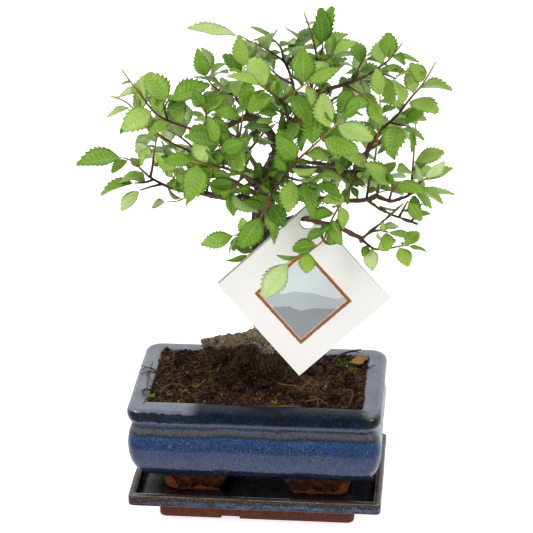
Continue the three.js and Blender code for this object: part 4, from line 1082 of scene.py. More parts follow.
# Fine roots at the rim, in the same way
ROOTLETS = [
    ([(-62, 4, 80), (-66, 5, 82), (-70, 7, 82), (-73.6, 10, 81.6)], 0.35),
    ([(-62, 3, 80), (-67, 1, 82), (-70.2, -0.7, 81.8), (-73.2, -0.9, 81.4)], 0.3),
    ([(-67, 1, 82), (-68, -3, 82), (-65.8, -5.8, 81.4)], 0.25),
    ([(-70, 7, 82), (-72, 3, 82), (-73, 1.8, 81.4)], 0.2),
    ([(-63, -20, 80), (-66, -22, 82), (-68.5, -24.7, 81.6)], 0.35),
    ([(-66, -22, 82), (-67, -28, 82), (-63.8, -32.1, 81.4), (-65, -40, 81.4)], 0.3),
    ([(41.5, 23.7, 80.4), (46, 30, 82.4), (52, 35, 83.2), (59, 39.1, 83)], 0.8),
    ([(52, 35, 83.2), (56, 34, 84), (58, 32, 84.4)], 0.4),
    ([(62, 16, 80), (66.8, 18.6, 82), (69, 20, 81.6)], 0.25),
]
# Tufts on the soil, as (across, deep, spread) in millimetres
SPROUTS = [
    (-45.3, -33.3, 1.6), (-61.7, -26.7, 2.6), (-43.7, -17.5, 2.4), (11.7, -27.6, 2.2),
    (48.5, 27, 7), (54.6, 18.4, 4), (-52, -22, 2), (-38, -10, 2),
]
# Pale seeds on the soil, as (across, deep)
SEEDS = [(-20.5, -20.6), (24.4, 6.8), (-59.2, 25.3), (2.5, -24.1), (-30, -30), (40, -6)]
# Outline of the bark chip, as (across, deep), and the height at which it lies
CHIP = [
    (53.1, 24.5), (55.2, 28.6), (57.5, 33.2), (60.4, 31.6), (63.8, 29.5), (61.5, 27.4), (60.9, 24.6),
    (58.1, 22.1),
]
CHIP_HEIGHT = 81.2


def soil_level(x, y):
    """The soil's height in millimetres: mounded round the trunk, high at the wall."""
    mound = 12.5 * math.exp(-(((x - 1) / 27) ** 2) - ((y - 13) / 15) ** 2)
    from_wall = min(64 - abs(x), 36 - y, 50)
    return 78.2 + mound + 2.2 * math.exp(-max(from_wall, 0) / 4)


def make_soil(soil):
    """Crumbly soil up to the lip, mounded round the trunk."""
    deselect_all()
    bpy.ops.mesh.primitive_grid_add(x_subdivisions=300, y_subdivisions=170, size=2, location=spot((0, 0, 0)))
    bed = bpy.context.object
    edit(bed)
    bpy.ops.transform.resize(value=(BED_HALF_X, BED_HALF_Y, 1))
    leave_edit()
    bpy.ops.object.transform_apply(location=True, rotation=True, scale=True)
    points = positions(bed.data)
    for point in points:
        x, y, _ = (point - MIDDLE) / MM
        lump = noise.fractal(Vector((x, y, 0)) / 9, 0.9, 2.1, 6) * 1.3
        clod = max(0, noise.noise(Vector((x, y, 9)) / 2.4)) * 2.6
        pit = max(0, noise.noise(Vector((x, y, 30)) / 5) - 0.1) * 4.5
        point[2] = (soil_level(x, y) + lump + clod - pit - 0.5) * MM
    place(bed.data, points)
    edit(bed)
    bpy.ops.mesh.select_mode(type="EDGE")
    bpy.ops.mesh.select_all(action="DESELECT")
    bpy.ops.mesh.select_non_manifold()
    bpy.ops.mesh.extrude_region_move(TRANSFORM_OT_translate={"value": (0, 0, -BED_DEPTH)})
    bpy.ops.transform.resize(value=(1, 1, 0))
    bpy.ops.mesh.edge_face_add()
    leave_edit()
    return finish_piece(bed, "soil_bed", earth(soil), ["soil"])


def crumb_shapes(count, rounds=1):
    """A few knobbly crumbs, one metre across, to be copied over the soil."""
    shapes = []
    for i in range(count):
        deselect_all()
        bpy.ops.mesh.primitive_ico_sphere_add(subdivisions=rounds, radius=0.5)
        shape = bpy.context.object
        for vertex in shape.data.vertices:
            vertex.co *= 1 + 0.9 * noise.noise(vertex.co * 3 + Vector((0, 0, 7 * i)))
        shapes.append(shape)
    return shapes


def strew(shapes, places):
    """Copies shapes to places of (which, matrix), joined as one object; the shapes are used up."""
    copies = []
    for which, matrix in places:
        copy = link("copy", shapes[which].data.copy())
        copy.data.transform(matrix)
        copies.append(copy)
    for shape in shapes:
        bpy.data.objects.remove(shape)
    return join(*copies)


def tumbled(draw):
    """A turn by any angle about a leaning axis."""
    return Matrix.Rotation(draw.uniform(0, FULL_TURN), 4, Vector((draw.random(), draw.random(), 1)))


def on_soil(draw):
    return draw.uniform(-62, 62), draw.uniform(-34, 34)


def make_litter(soil):
    """Crumbs, fibres, moss and chips on the soil."""
    draw = random.Random(4)
    damp = earth(soil)
    dry = plain_fibre("dry crumb", "57402e", "967b60", 0.95)
    for title, ratio, least, spread, rounds in CRUMBS:
        places = []
        for _ in range(soil.crumbs // ratio):
            x, y = on_soil(draw)
            size = (least + spread * draw.random() ** 3) * MM
            stretch = Matrix.Diagonal((size * draw.uniform(0.8, 1.5), size, size * 0.8, 1))
            turn = tumbled(draw)
            where = Matrix.Translation(spot((x, y, soil_level(x, y) + 0.1)))
            places.append((draw.randrange(4), where @ turn @ stretch))
        crumbs = strew(crumb_shapes(4, rounds), places)
        finish_piece(crumbs, "soil_" + title, dry if title == "pale_crumbs" else damp)
    lines = [stray_fibre(draw) for _ in range(soil.straws)]
    lines += [smooth_line(points, (radius * 1.3, radius * 0.7), 0.8) for points, radius in STRAWS]
    straw = plain_fibre("straw", soil.straw, "4e3020")
    finish_piece(tubes(lines, 6), "soil_fibres", straw)
    lines = [smooth_line(points, (radius * 1.25, radius * 0.6), 0.6) for points, radius in ROOTLETS]
    finish_piece(tubes(lines, 6), "fine_roots", plain_fibre("rootlet", "1a110d", "3a241a"))
    make_sprouts(soil, draw)
    make_seeds(draw)
    make_chip()


def stray_fibre(draw):
    """A short fibre that wanders over the soil."""
    x, y = on_soil(draw)
    heading, run = draw.uniform(0, FULL_TURN), draw.uniform(2, 8)
    most_x, most_y = STRAW_LIMITS
    points = []
    for _ in range(5):
        points.append((x, y, soil_level(x, y) + 0.6 + draw.uniform(-0.6, 1.0)))
        heading += draw.uniform(-0.9, 0.9)
        x = clipped(x + run / 4 * math.cos(heading), -most_x, most_x)
        y = clipped(y + run / 4 * math.sin(heading), -most_y, most_y)
    return smooth_line(points, (draw.uniform(0.07, 0.18), 0.05), 0.8)


def make_sprouts(soil, draw):
    """Tufts of tiny leaves and moss blades."""
    deselect_all()
    bpy.ops.mesh.primitive_ico_sphere_add(subdivisions=1, radius=0.5)
    blade = bpy.context.object
    blade.data.transform(Matrix.Diagonal((0.48, 0.14, 1, 1)))
    blade.data.transform(Matrix.Translation((0, 0, 0.45)))
    most_x, most_y = BLADE_LIMITS
    places = []
    for x0, y0, spread in SPROUTS:
        for _ in range(round(3 + spread * 4)):
            x, y = draw.gauss(x0, spread * 0.5), draw.gauss(y0, spread * 0.5)
            x, y = clipped(x, -most_x, most_x), clipped(y, -most_y, most_y)
            size = draw.uniform(0.9, 2.5) * MM
            lean = draw.uniform(0.1, 1.4)
            lean = Matrix.Rotation(lean, 4, Vector((draw.gauss(0, 1), draw.gauss(0, 1), 0.1)))
            where = Matrix.Translation(spot((x, y, soil_level(x, y) - 0.1)))
            places.append((0, where @ lean @ Matrix.Scale(size, 4)))
    moss = plain_fibre("moss", soil.moss, "93b03a", 0.7)
    finish_piece(strew([blade], places), "moss_and_seedlings", moss)


def make_seeds(draw):
    """Pale seeds on the soil."""
    size = Matrix.Diagonal((1.6 * MM, 1.1 * MM, 0.9 * MM, 1))
    places = []
    for x, y in SEEDS:
        where = Matrix.Translation(spot((x, y, soil_level(x, y) + 0.9)))
        places.append((0, where @ Matrix.Rotation(draw.uniform(0, 3), 4, "Z") @ size))
    husk = plain_fibre("seed", "a98c5c", "c9b083", 0.6)
    finish_piece(strew(crumb_shapes(1), places), "seeds_on_soil", husk)


def make_chip():
    """A tan chip of bark on the soil."""
    mesh = bpy.data.meshes.new("chip")
    chip = link("chip", mesh)
    heights = [CHIP_HEIGHT + 0.12 * (y - 27) + 0.5 * (i % 2) for i, (_, y) in enumerate(CHIP)]
    corners = [spot((x, y, z)) for (x, y), z in zip(CHIP, heights)]
    mesh.from_pydata(corners, [], [range(len(corners))])
    apply(chip, "SOLIDIFY", thickness=0.0009, offset=0)
    apply(chip, "SUBSURF", levels=3, subdivision_type="SIMPLE")
    knead(chip, 0.0007, 0.003)
    finish_piece(chip, "bark_chip", plain_fibre("bark chip", "7d5a30", "b98c50", 0.85), sharp=0)


# Wood

# Swellings of the trunk and limbs, as (reading, radius)
KNOBS = [
    ((14.8, 232, 0), 5.6), ((11, 228, 0), 5.4), ((34, 259.5, 0), 4.6), ((30, 255, 1), 4.4),
    ((24, 248, 2), 4.2), ((5, 203, -1), 7.2), ((-1, 246, 1), 2.9), ((61, 221, -10), 2.4),
    ((60, 173, -28), 2.6),
]
# Heights in metres: the roots are rougher below the first, and the trunk above the second
ROOTS_BELOW = 0.104
FORKS_ABOVE = 0.196
# What clings to the trunk's foot: how much of it, and where in metres, lower on the bare root at the left
CLINGING_CRUMBS = 800
ROOT_HAIRS = 32
HAIR_HEIGHTS = (0.089, 0.098)
FOOT_HEIGHTS = (0.081, 0.1)
BARE_ROOT_X = MIDDLE[0] - 0.018
CLINGS_BELOW = 0.0975
CLINGS_BELOW_BARE = 0.0915


def make_wood(tree):
    """Trunk and roots fused and roughened, with the limbs that grow out of them."""
    core = [smooth_line([seen(p) for p in points], radii, 2) for points, radii in (TRUNK, *ROOTS)]
    for reading, radius in KNOBS:
        middle = seen(reading)
        ends = [middle - (radius * 0.3, 0, 0), middle, middle + (radius * 0.3, 0, 0.4)]
        core.append(([spot(end) for end in ends], [radius * share * MM for share in (0.8, 1, 0.7)]))
    limbs = []
    for name, (points, radii) in LIMBS.items():
        share, rise = (THIN_LIMB_SHARE if radii[0] < THIN_LIMB else 1), 0
        if name == "tag_limb":
            share, rise = TAG_LIMB_SHARE, TAG_LIMB_RISE
        raised_points = [seen(p) + (0, 0, rise) for p in points]
        places, widths = smooth_line(raised_points, [radius * share for radius in radii], 1.4)
        limbs.append((places, widths))
        if radii[0] >= FUSED_LIMB:
            count = min(len(places) - 1, 12)
            collar = [radius * (1.35 - 0.3 * i / count) for i, radius in enumerate(widths[:count])]
            core.append((places[:count], collar))
    trunk = tubes(core, 16)
    apply(trunk, "REMESH", mode="VOXEL", voxel_size=tree.grain)
    apply(trunk, "SMOOTH", factor=0.6, iterations=6)
    knead(trunk, 0.0013, 0.011, (1, 1, 0.5))
    knead(trunk, 0.0008, 0.0032, (1, 1, 0.6))
    knead(trunk, 0.0014, 0.0045, share=lambda points: np.clip((ROOTS_BELOW - points[:, 2]) / 0.006, 0, 1))
    knead(trunk, 0.0016, 0.005, share=lambda points: np.clip((points[:, 2] - FORKS_ABOVE) / 0.01, 0, 1))
    coat(trunk, old_bark(tree))
    bpy.ops.object.shade_smooth()
    make_foot_litter(trunk)
    finish_piece(trunk, "trunk_and_roots", nodes=["trunk"])
    boughs = tubes(limbs, 10)
    knead(boughs, 0.0005, 0.0035)
    finish_piece(boughs, "limbs", limb_bark())


def is_at_foot(vertex):
    """Whether soil clings to a vertex of the trunk: low on it, or under a root."""
    low, high = FOOT_HEIGHTS
    limit = CLINGS_BELOW_BARE if vertex.co.x < BARE_ROOT_X else CLINGS_BELOW
    return low < vertex.co.z < high and (vertex.co.z < limit or vertex.normal.z < -0.5)


def make_foot_litter(trunk):
    """Soil crumbs and fine roots that cling to the trunk's foot."""
    draw = random.Random(8)
    hung = [vertex for vertex in trunk.data.vertices if is_at_foot(vertex)]
    places = []
    for vertex in draw.sample(hung, CLINGING_CRUMBS):
        size = draw.uniform(0.6, 2.0) * MM
        turn = tumbled(draw)
        where = Matrix.Translation(vertex.co + vertex.normal * 0.1 * MM)
        places.append((draw.randrange(4), where @ turn @ Matrix.Diagonal((size * 1.3, size, size * 0.8, 1))))
    clinging = plain_fibre("clinging soil", "140c08", "5c412e", 0.95)
    finish_piece(strew(crumb_shapes(4), places), "clinging_crumbs", clinging)
    lines = []
    low, high = HAIR_HEIGHTS
    edge = [vertex for vertex in hung if low < vertex.co.z < high and vertex.normal.y < 0.2]
    for vertex in draw.sample(edge, ROOT_HAIRS):
        points = [(np.array(vertex.co) - MIDDLE) / MM]
        way = np.array(vertex.normal) * 1.2 + (0, 0, -0.4)
        for _ in range(4):
            way = way * 0.6 + np.array([draw.gauss(0, 0.8), draw.gauss(-0.3, 0.6), draw.gauss(-0.9, 0.5)])
            points.append(points[-1] + way * 0.9)
        lines.append(smooth_line(points, (draw.uniform(0.1, 0.24), 0.06), 0.8))
    finish_piece(tubes(lines, 6), "root_hairs", plain_fibre("root hair", "3b281b", "7a5b40"))


# Leaves

Leaf = namedtuple("Leaf", "base ahead across face length half bend")
# The crown's middle, from the pot's middle in millimetres
CANOPY_HEART = np.array([5, 4, 230])
# How far the leaf that ends a shoot is sunk in it, and how thick the frame's leaves are, in millimetres
STALK_SUNK = 0.7
CAD_BLADE = 0.6
# A tip is at a corner of the frame's leaf when it is within this many metres of it
TIP_MATCH = 0.00006
# The length of leaves beside a shoot against the frame's, and the half width in metres of a usual leaf
SIDE_LEAF_SHARE = 0.87
TYPICAL_HALF = 0.006
# Teeth on each side and fullness of the leaves
LARGE_LEAVES = [(8, 0.8), (9, 0.9), (7, 0.7)]
SMALL_LEAVES = [(5, 0.75), (6, 0.85)]
# Small leaves to each leaf of a shoot, inside the crown and at its edge, and their share of its length
SMALL_INNER = 0.55
SMALL_OUTER = 0.25
SMALL_LENGTH = (0.3, 0.62)
# The crown's middle and half width, across, the height of its floor, and the inner shoots' middle
CROWN_MIDDLE = 8
CROWN_HALF = 52
CROWN_FLOOR = 196
INNER_MIDDLE = 12
# Turns, rolls and shares of length that the frame's rule tries for a leaf, in its order
LEAF_TRIES = [
    (0, 0, 1), (14, -24, 1), (-14, 24, 1), (26, 40, 0.95), (-24, -44, 0.95), (38, -70, 0.9),
    (-8, 80, 0.9), (4, 140, 0.85), (-30, 100, 0.8),
]
# The same for the leaf that ends a shoot
TIP_TRIES = [
    (0, 0, 1), (0, 30, 1), (0, -30, 1), (6, 60, 1), (-6, -60, 0.95), (12, 0, 0.9), (-12, 0, 0.9),
]


def unit(vector):
    return vector / np.linalg.norm(vector)


def scatter(draw, spread):
    """A random way in space."""
    return np.array([draw.gauss(0, spread) for _ in range(3)])


def draws_from(seed):
    """The seeded draws from 0 to 1 that place the leaves in the frame's source."""
    state = seed
    while True:
        state = (state + 0x6D2B79F5) & 0xFFFFFFFF
        t = ((state ^ (state >> 15)) * (1 | state)) & 0xFFFFFFFF
        t = ((t + ((t ^ (t >> 7)) * (61 | t))) & 0xFFFFFFFF) ^ t
        yield (t ^ (t >> 14)) / 4294967296


def outward(point):
    """The way a leaf's upper face looks: out of the canopy and up to the light."""
    x, y, z = point - CANOPY_HEART
    return unit(np.array([x * 0.35, y + (34 if y > 0 else -34), z * 0.25 + 40]))


def turned(face, axis, degrees):
    """A face turned about an axis, after it is squared to it."""
    a = unit(axis)
    square = unit(face - a * np.dot(face, a))
    return square * math.cos(math.radians(degrees)) + np.cross(a, square) * math.sin(math.radians(degrees))


def leaf_at(base, axis, face, reach, half, bend):
    ahead = unit(axis)
    across = unit(np.cross(ahead, face))
    return Leaf(base, ahead, across, np.cross(across, ahead), reach, half, bend)


def end_leaf(points, tip, draws, attempt):
    """The leaf that ends a shoot."""
    swing, roll, reach = attempt
    end = points[-1]
    base = end - unit(end - points[-2]) * STALK_SUNK
    face = outward(base)
    straight = tip - base
    whole = np.linalg.norm(straight)
    axis = straight + unit(np.cross(face, straight)) * whole * math.tan(math.radians(swing))
    half = whole * reach * (0.22 + 0.05 * draws[0]) + 0.6
    return leaf_at(base, axis, turned(face, axis, (draws[1] - 0.5) * 50 + roll), whole * reach, half, 0.14)


def place_of_leaf(shoot, i):
    """Where along its shoot a side leaf stands, from 0 to 1."""
    _, _, count, _, tip = shoot
    return 0.22 + (0.74 if tip else 0.6) * (i + 0.5) / count


def side_leaf(points, shoot, i, draws, attempt):
    """A leaf at the side of a shoot, left and right by turns."""
    swing, roll, reach = attempt
    t = place_of_leaf(shoot, i)
    base = along(points, t)
    way = unit(along(points, t + 0.03) - along(points, t - 0.03))
    up = unit(outward(base) + (np.array(draws[:3]) - 0.5) * 0.9)
    side = unit(np.cross(up, way) * (1 if i % 2 else -1))
    spread = math.radians(48 + 16 * draws[3] + swing)
    axis = way * math.cos(spread) + side * math.sin(spread) + np.array([0, 0, -0.22])
    whole = shoot[3] * (0.76 + 0.36 * draws[4]) * reach
    half = whole * (0.22 + 0.07 * draws[2]) + 0.5
    return leaf_at(base, axis, turned(up, axis, roll), whole, half, 0.1 + 0.1 * draws[1])


def tip_of(leaf, raise_by):
    """The place of a leaf's tip, raised off its blade."""
    low = raise_by - leaf.bend * leaf.length
    return leaf.base + leaf.ahead * leaf.length + leaf.face * low


def standing_leaf(corners, tries, make):
    """The first try whose tip is a corner of the spray's solid in the frame, or None."""
    for attempt in tries:
        leaf = make(attempt)
        tip = np.array(spot(tip_of(leaf, CAD_BLADE / 2)))
        if np.min(np.linalg.norm(corners - tip, axis=1)) < TIP_MATCH:
            return leaf
    return None


def blade_rows(teeth, fullness):
    """Rows of a leaf as (share of its length, half width, shift of the edge ahead), two to a tooth."""
    rows = [(0, 0, 0), (0.03, 0.05, 0), (0.08, 0.055, 0)]
    step = 0.84 / teeth
    for i in range(teeth):
        for part, swell, ahead in ((0, 0.88, 0), (0.7, 1.07, 0.35 * step)):
            share = 0.13 + (i + part) * step
            bulge = math.sin(math.pi * ((share - 0.08) / 0.92) ** 0.92) ** fullness
            rows.append((share, bulge * (1.06 - 0.16 * share) * swell, ahead))
    return rows + [(1, 0, 0)]


def leaf_pattern(teeth, fullness, thickness, columns, skins):
    """A flat toothed leaf, one long and one from midrib to edge, thin at its edge and closed."""
    rows = blade_rows(teeth, fullness)
    halves = []
    for cuts, is_under in ((columns, False), (2, True)):
        deselect_all()
        bpy.ops.mesh.primitive_grid_add(x_subdivisions=cuts, y_subdivisions=len(rows) - 1, size=2)
        part = bpy.context.object
        mesh = part.data
        side, order, _ = positions(mesh).T
        order = np.rint((order + 1) / 2 * (len(rows) - 1)).astype(int)
        share, width, ahead = np.array(rows)[order].T
        out = np.abs(side)
        fold = 0.2 * out * width + 0.05 * np.sin(math.pi * out) * width
        if is_under:
            fold = fold - thickness * (1 - out) * np.minimum(1, width * 4)
        place(mesh, np.stack([side * width, share + ahead * (out > 0.99), fold], axis=1))
        mesh.uv_layers[0].name = "blade"
        for loop in mesh.loops:
            vertex = loop.vertex_index
            mesh.uv_layers["blade"].data[loop.index].uv = ((side[vertex] + 1) / 2, share[vertex])
        coat(part, skins[int(is_under)])
        if is_under:
            select_all_of(part)
            bpy.ops.mesh.flip_normals()
            leave_edit()
        halves.append(part)
    whole = join(*halves)
    select_all_of(whole)
    bpy.ops.mesh.remove_doubles(threshold=1e-5)
    leave_edit()
    bpy.ops.object.shade_smooth()
    return whole


def leaf_tone(leaf, draw):
    """How light a leaf's green is, from 0 to 1: drawn at random, lightest far out in the crown and at its
    left, and darker towards its middle as painted shade.
    """
    out = np.linalg.norm((leaf.base - CANOPY_HEART) * np.array([1, 1.2, 1.3]))
    left = 0.2 * clipped((-5 - leaf.base[0]) / 40)
    # The rise with distance from the crown's middle is painted shade on the inner leaves.
    return clipped(0.07 + left + 0.38 * clipped((out - 30) / 65) + draw.gauss(0.17, 0.21))


def lay_leaf(patterns, leaf, root, draw):
    """A copy of a pattern leaf where a leaf stands, folded and curled a little, stalked from its twig."""
    pattern = draw.choice(patterns)
    tone = leaf_tone(leaf, draw)
    mesh = pattern.data.copy()
    side, share, lift = positions(mesh).T[:, :, None]
    level = np.array([0, 0, 1]) - leaf.ahead * leaf.ahead[2]
    flat = math.atan2(np.dot(level, leaf.across), np.dot(level, leaf.face))
    flat = (flat + math.pi / 2) % math.pi - math.pi / 2
    outer = clipped(max((abs(leaf.base[0] - CROWN_MIDDLE) - 30) / 20, (leaf.base[2] - 268) / 14))
    flat *= draw.uniform(0.1 + 0.5 * outer, 0.8 + 0.2 * outer) * (1 - leaf.ahead[2] ** 2)
    tilt = flat + math.radians(draw.gauss(0, 11))
    across = leaf.across * math.cos(tilt) - leaf.face * math.sin(tilt)
    face = leaf.face * math.cos(tilt) + leaf.across * math.sin(tilt)
    twist = draw.uniform(-0.5, 0.5) * (share - 0.4)
    fold = draw.uniform(0.0, 0.45)
    wave, phase = draw.uniform(0.02, 0.12), draw.uniform(0, FULL_TURN)
    slim = draw.uniform(0.92, 1.12)
    lift = lift + twist * side + fold * np.abs(side) + wave * side**2 * np.sin(9 * share + phase)
    drop = leaf.bend * leaf.length * share**2
    arch = draw.uniform(-0.03, 0.09) * leaf.length * np.sin(math.pi * share)
    points = leaf.base + leaf.ahead * leaf.length * share + across * leaf.half * side * slim
    points = points + face * leaf.half * lift + leaf.face * (arch - drop)
    points = points + (root - leaf.base) * np.clip(1 - share / 0.12, 0, 1)
    place(mesh, MIDDLE + points * MM)
    mesh.attributes.new("tone", "FLOAT", "POINT").data.foreach_set("value", [tone] * len(mesh.vertices))
    return link("leaf", mesh)


def free_leaf(root, way, length_range, draw):
    """A small leaf that stands off a twig to one side."""
    up = unit(outward(root) + scatter(draw, 0.5))
    side = unit(np.cross(up, way)) * draw.choice((-1, 1))
    axis = way * draw.uniform(0.1, 1) + side + np.array([0, 0, draw.uniform(-0.5, 0.1)])
    whole = draw.uniform(*length_range)
    return leaf_at(root, axis, up, whole, whole * draw.uniform(0.26, 0.34) + 0.3, draw.uniform(0.08, 0.25))


def small_leaves(smooth, shoot, draw):
    """Young leaves between a shoot's own, as (leaf, root)."""
    _, _, count, size, _ = shoot
    is_outer = abs(smooth[-1][0] - CROWN_MIDDLE) > CROWN_HALF
    stands = []
    for _ in range(max(1, round(count * (SMALL_OUTER if is_outer else SMALL_INNER)))):
        t = draw.uniform(0.12, 0.94)
        root = bend_through(smooth, t)
        way = unit(bend_through(smooth, min(1, t + 0.04)) - bend_through(smooth, max(0, t - 0.04)))
        stands.append((free_leaf(root, way, [size * share for share in SMALL_LENGTH], draw), root))
    return stands


def frame_leaves(corners, shoot, points, smooth, draws):
    """A shoot's leaves where the frame's rule stands them, as (leaf, root)."""
    _, _, count, _, tip = shoot
    values = [next(draws) for _ in range(5 * count + 2)]
    stands = []
    for i in range(count):
        own = values[5 * i + 2 : 5 * i + 7]
        leaf = standing_leaf(corners, LEAF_TRIES, lambda a: side_leaf(points, shoot, i, own, a))
        if leaf:
            root = bend_through(smooth, place_of_leaf(shoot, i))
            stands.append((leaf._replace(length=leaf.length * SIDE_LEAF_SHARE), root))
    if tip:
        leaf = standing_leaf(corners, TIP_TRIES, lambda a: end_leaf(points, seen(tip), values[:2], a))
        if leaf:
            stands.append((leaf, points[-1]))
    return stands


def make_twigs(shoots, bark, radii=(0.85, 0.42)):
    """Shoots as one mesh, whose tone runs from 0 where they grow out to 1 at their tips."""
    twigs = tubes([smooth_line(points, radii, 1.6) for points in shoots], 6)
    starts = np.array([spot(shoot[0]) for shoot in shoots])
    apart = np.min(np.linalg.norm(positions(twigs.data)[:, None] - starts[None], axis=2), axis=1)
    tone = np.clip(apart / max(apart.max(), 0.02), 0, 1)
    twigs.data.attributes.new("tone", "FLOAT", "POINT").data.foreach_set("value", tone)
    twigs.data.uv_layers.new(name="blade")
    coat(twigs, bark)
    return twigs


def make_inner_shoots(tree, patterns, bark):
    """Short leafy twiglets on the limbs inside the crown."""
    draw = random.Random(31)
    readings = [points for points, _ in LIMBS.values()] + [TRUNK[0][5:]]
    limbs = [[seen(p) for p in points] for points in readings]
    lengths = [run_of(limb) for limb in limbs]
    lines, parts = [], []
    while len(lines) < tree.inner_shoots:
        limb = draw.choices(limbs, lengths)[0]
        t = draw.uniform(0.02, 0.86)
        start = bend_through(limb, t)
        if start[2] < CROWN_FLOOR or abs(start[0] - INNER_MIDDLE) > CROWN_HALF:
            continue
        run = unit(bend_through(limb, min(1, t + 0.05)) - start)
        wild = scatter(draw, 1)
        way = unit(outward(start) * 0.5 + unit(start - CANOPY_HEART) * 0.4 + wild * 0.5 + run * 0.4)
        reach = draw.uniform(6, 19)
        bow = np.cross(way, wild) * 0.15 * reach
        points = [start, start + way * reach * 0.5 + bow * 0.6, start + way * reach]
        lines.append(points)
        end = unit(points[2] - points[1])
        up = unit(outward(points[2]) + scatter(draw, 0.5))
        whole = draw.uniform(6, 14)
        leaves = [(leaf_at(points[2], end + 0.2 * wild, up, whole, whole * 0.32, 0.15), points[2])]
        for _ in range(draw.randrange(1, 4)):
            root = bend_through(points, draw.uniform(0.3, 0.95))
            leaves.append((free_leaf(root, end, (5, 13), draw), root))
        parts += [lay_leaf(patterns, leaf, root, draw) for leaf, root in leaves]
    finish_piece(join(make_twigs(lines, bark, (0.5, 0.28)), *parts), "inner_shoots")


def make_sprays(tree):
    """Each leafy spray, as one piece in place of its node."""
    skins = (leaf_skin(tree, False), leaf_skin(tree, True))
    large, small = (
        [leaf_pattern(*kind, tree.blade / TYPICAL_HALF, columns, skins) for kind in kinds]
        for kinds, columns in ((LARGE_LEAVES, 4), (SMALL_LEAVES, 2))
    )
    bark = shoot_bark(tree)
    draws = draws_from(11)
    draw = random.Random(23)
    for name, shoots in SPRAYS.items():
        node = "spray_" + name
        corners = positions(frame["nodes"][node].data)
        main = [seen(point) for point in shoots[0][1]]
        lines, parts = [], []
        for index, shoot in enumerate(shoots):
            start, readings, *_ = shoot
            points = smooth = [seen(point) for point in readings]
            if index:
                smooth = [bend_through(main, start), *points]
                points = [along(main, start), *points]
            lines.append(smooth)
            for leaf, root in frame_leaves(corners, shoot, points, smooth, draws):
                parts.append(lay_leaf(large, leaf, root, draw))
            for leaf, root in small_leaves(smooth, shoot, draw):
                parts.append(lay_leaf(small, leaf, root, draw))
        finish_piece(join(make_twigs(lines, bark), *parts), "leafy_" + name, nodes=[node])
    make_inner_shoots(tree, small, bark)
    for pattern in large + small:
        bpy.data.objects.remove(pattern)


# The paper tag

# The card and how it hangs, in millimetres and degrees
CARD_SIDE = 71.5
HOLE_RADIUS = 4
HOLE_TO_CORNER = 9.5
CAD_LIMB_RADIUS = 2.3
SEAT_GAP = 0.3
TAG_LEAN = 10
TAG_TURN = -4
TAG_ROLL = 1.2
# The tag's two leaves: how far in front of the fold's plane each lies, how far it gapes, its share of the
# side, and how far it bows
TAG_LEAVES = ((0.05, 0, 1, 0.5), (-0.45, -2, 1.014, 0.2))


def tag_axes():
    """The tag's lowest corner, its right, left and front ways, and its hole."""
    lean, turn, roll = (math.radians(degrees) for degrees in (TAG_LEAN, TAG_TURN, TAG_ROLL))
    level = np.array([math.cos(turn), math.sin(turn), 0])
    back = np.array([-math.sin(turn), math.cos(turn), 0])
    upright = np.array([0, 0, math.cos(lean)]) + back * math.sin(lean)
    rise = upright * math.cos(roll) + level * math.sin(roll)
    across = level * math.cos(roll) - upright * math.sin(roll)
    hole = seen(HOOK) + rise * (CAD_LIMB_RADIUS + SEAT_GAP - HOLE_RADIUS)
    corner = hole + rise * (HOLE_TO_CORNER - CARD_SIDE * math.sqrt(2))
    return corner, unit(across + rise), unit(rise - across), np.cross(across, rise), hole


def make_tag(tag):
    """A card folded along its lower right edge, hung on its limb by a punched hole."""
    side, card = tag.side / MM, tag.card / MM
    corner, right, left, front, hole = tag_axes()
    edge = bare_card("bare card", tag.paper, "d9d7d2")
    # The inner card's grey is painted shade on the back leaf's face, which shows as a strip past the front
    # leaf's edge.
    inner = bare_card("inner card", "bdbcba", "cdccc9")
    leaves = []
    for (low, gape, reach, bow), skin in zip(TAG_LEAVES, (printed_card(tag), inner)):
        deselect_all()
        bpy.ops.mesh.primitive_grid_add(x_subdivisions=30, y_subdivisions=30, size=2)
        sheet = bpy.context.object
        u, v = ((positions(sheet.data).T[i][:, None] + 1) / 2 for i in (0, 1))
        bend = bow * np.sin(math.pi * u) * v * (1 - 0.5 * v)
        points = corner + right * side * u + left * side * reach * v + front * (low + gape * v + bend)
        sheet.data.uv_layers[0].name = "face"
        place(sheet.data, MIDDLE + points * MM)
        coat(sheet, skin, edge)
        thicken = {"offset": 1, "material_offset": 0} if low > 0 else {"offset": -1}
        apply(sheet, "SOLIDIFY", thickness=card * MM, **thicken)
        faces = sheet.data.polygons
        faces.foreach_set("material_index", [int(face.normal.dot(Vector(front)) < 0.8) for face in faces])
        leaves.append(sheet)
    whole = join(*leaves)
    drill(whole, hole, HOLE_RADIUS, 40, Vector(front).to_track_quat("Z", "Y").to_euler())
    return finish_piece(whole, "paper_tag", nodes=["tag"], sharp=30)


# Stage

# The camera's focal length and picture width in the photo's pixels, its sensor in millimetres, its roll in
# degrees, and the point in millimetres that it looks at
FOCAL_PIXELS = 2100
PHOTO_PIXELS = 533
SENSOR = 36
CAMERA_ROLL = -0.5
LOOKED_AT = (4.7, 0, 154)
# Lamps as (name, place, size, power), and the point in metres that they face
LAMPS = [
    ("overhead", (-0.1, 0.3, 1.3), 1.0, 5),
    ("left", (-1.2, -0.9, 1.0), 0.7, 12),
    ("right", (1.2, -0.9, 0.9), 0.7, 9),
]
LIT_POINT = (0, 0, 0.15)


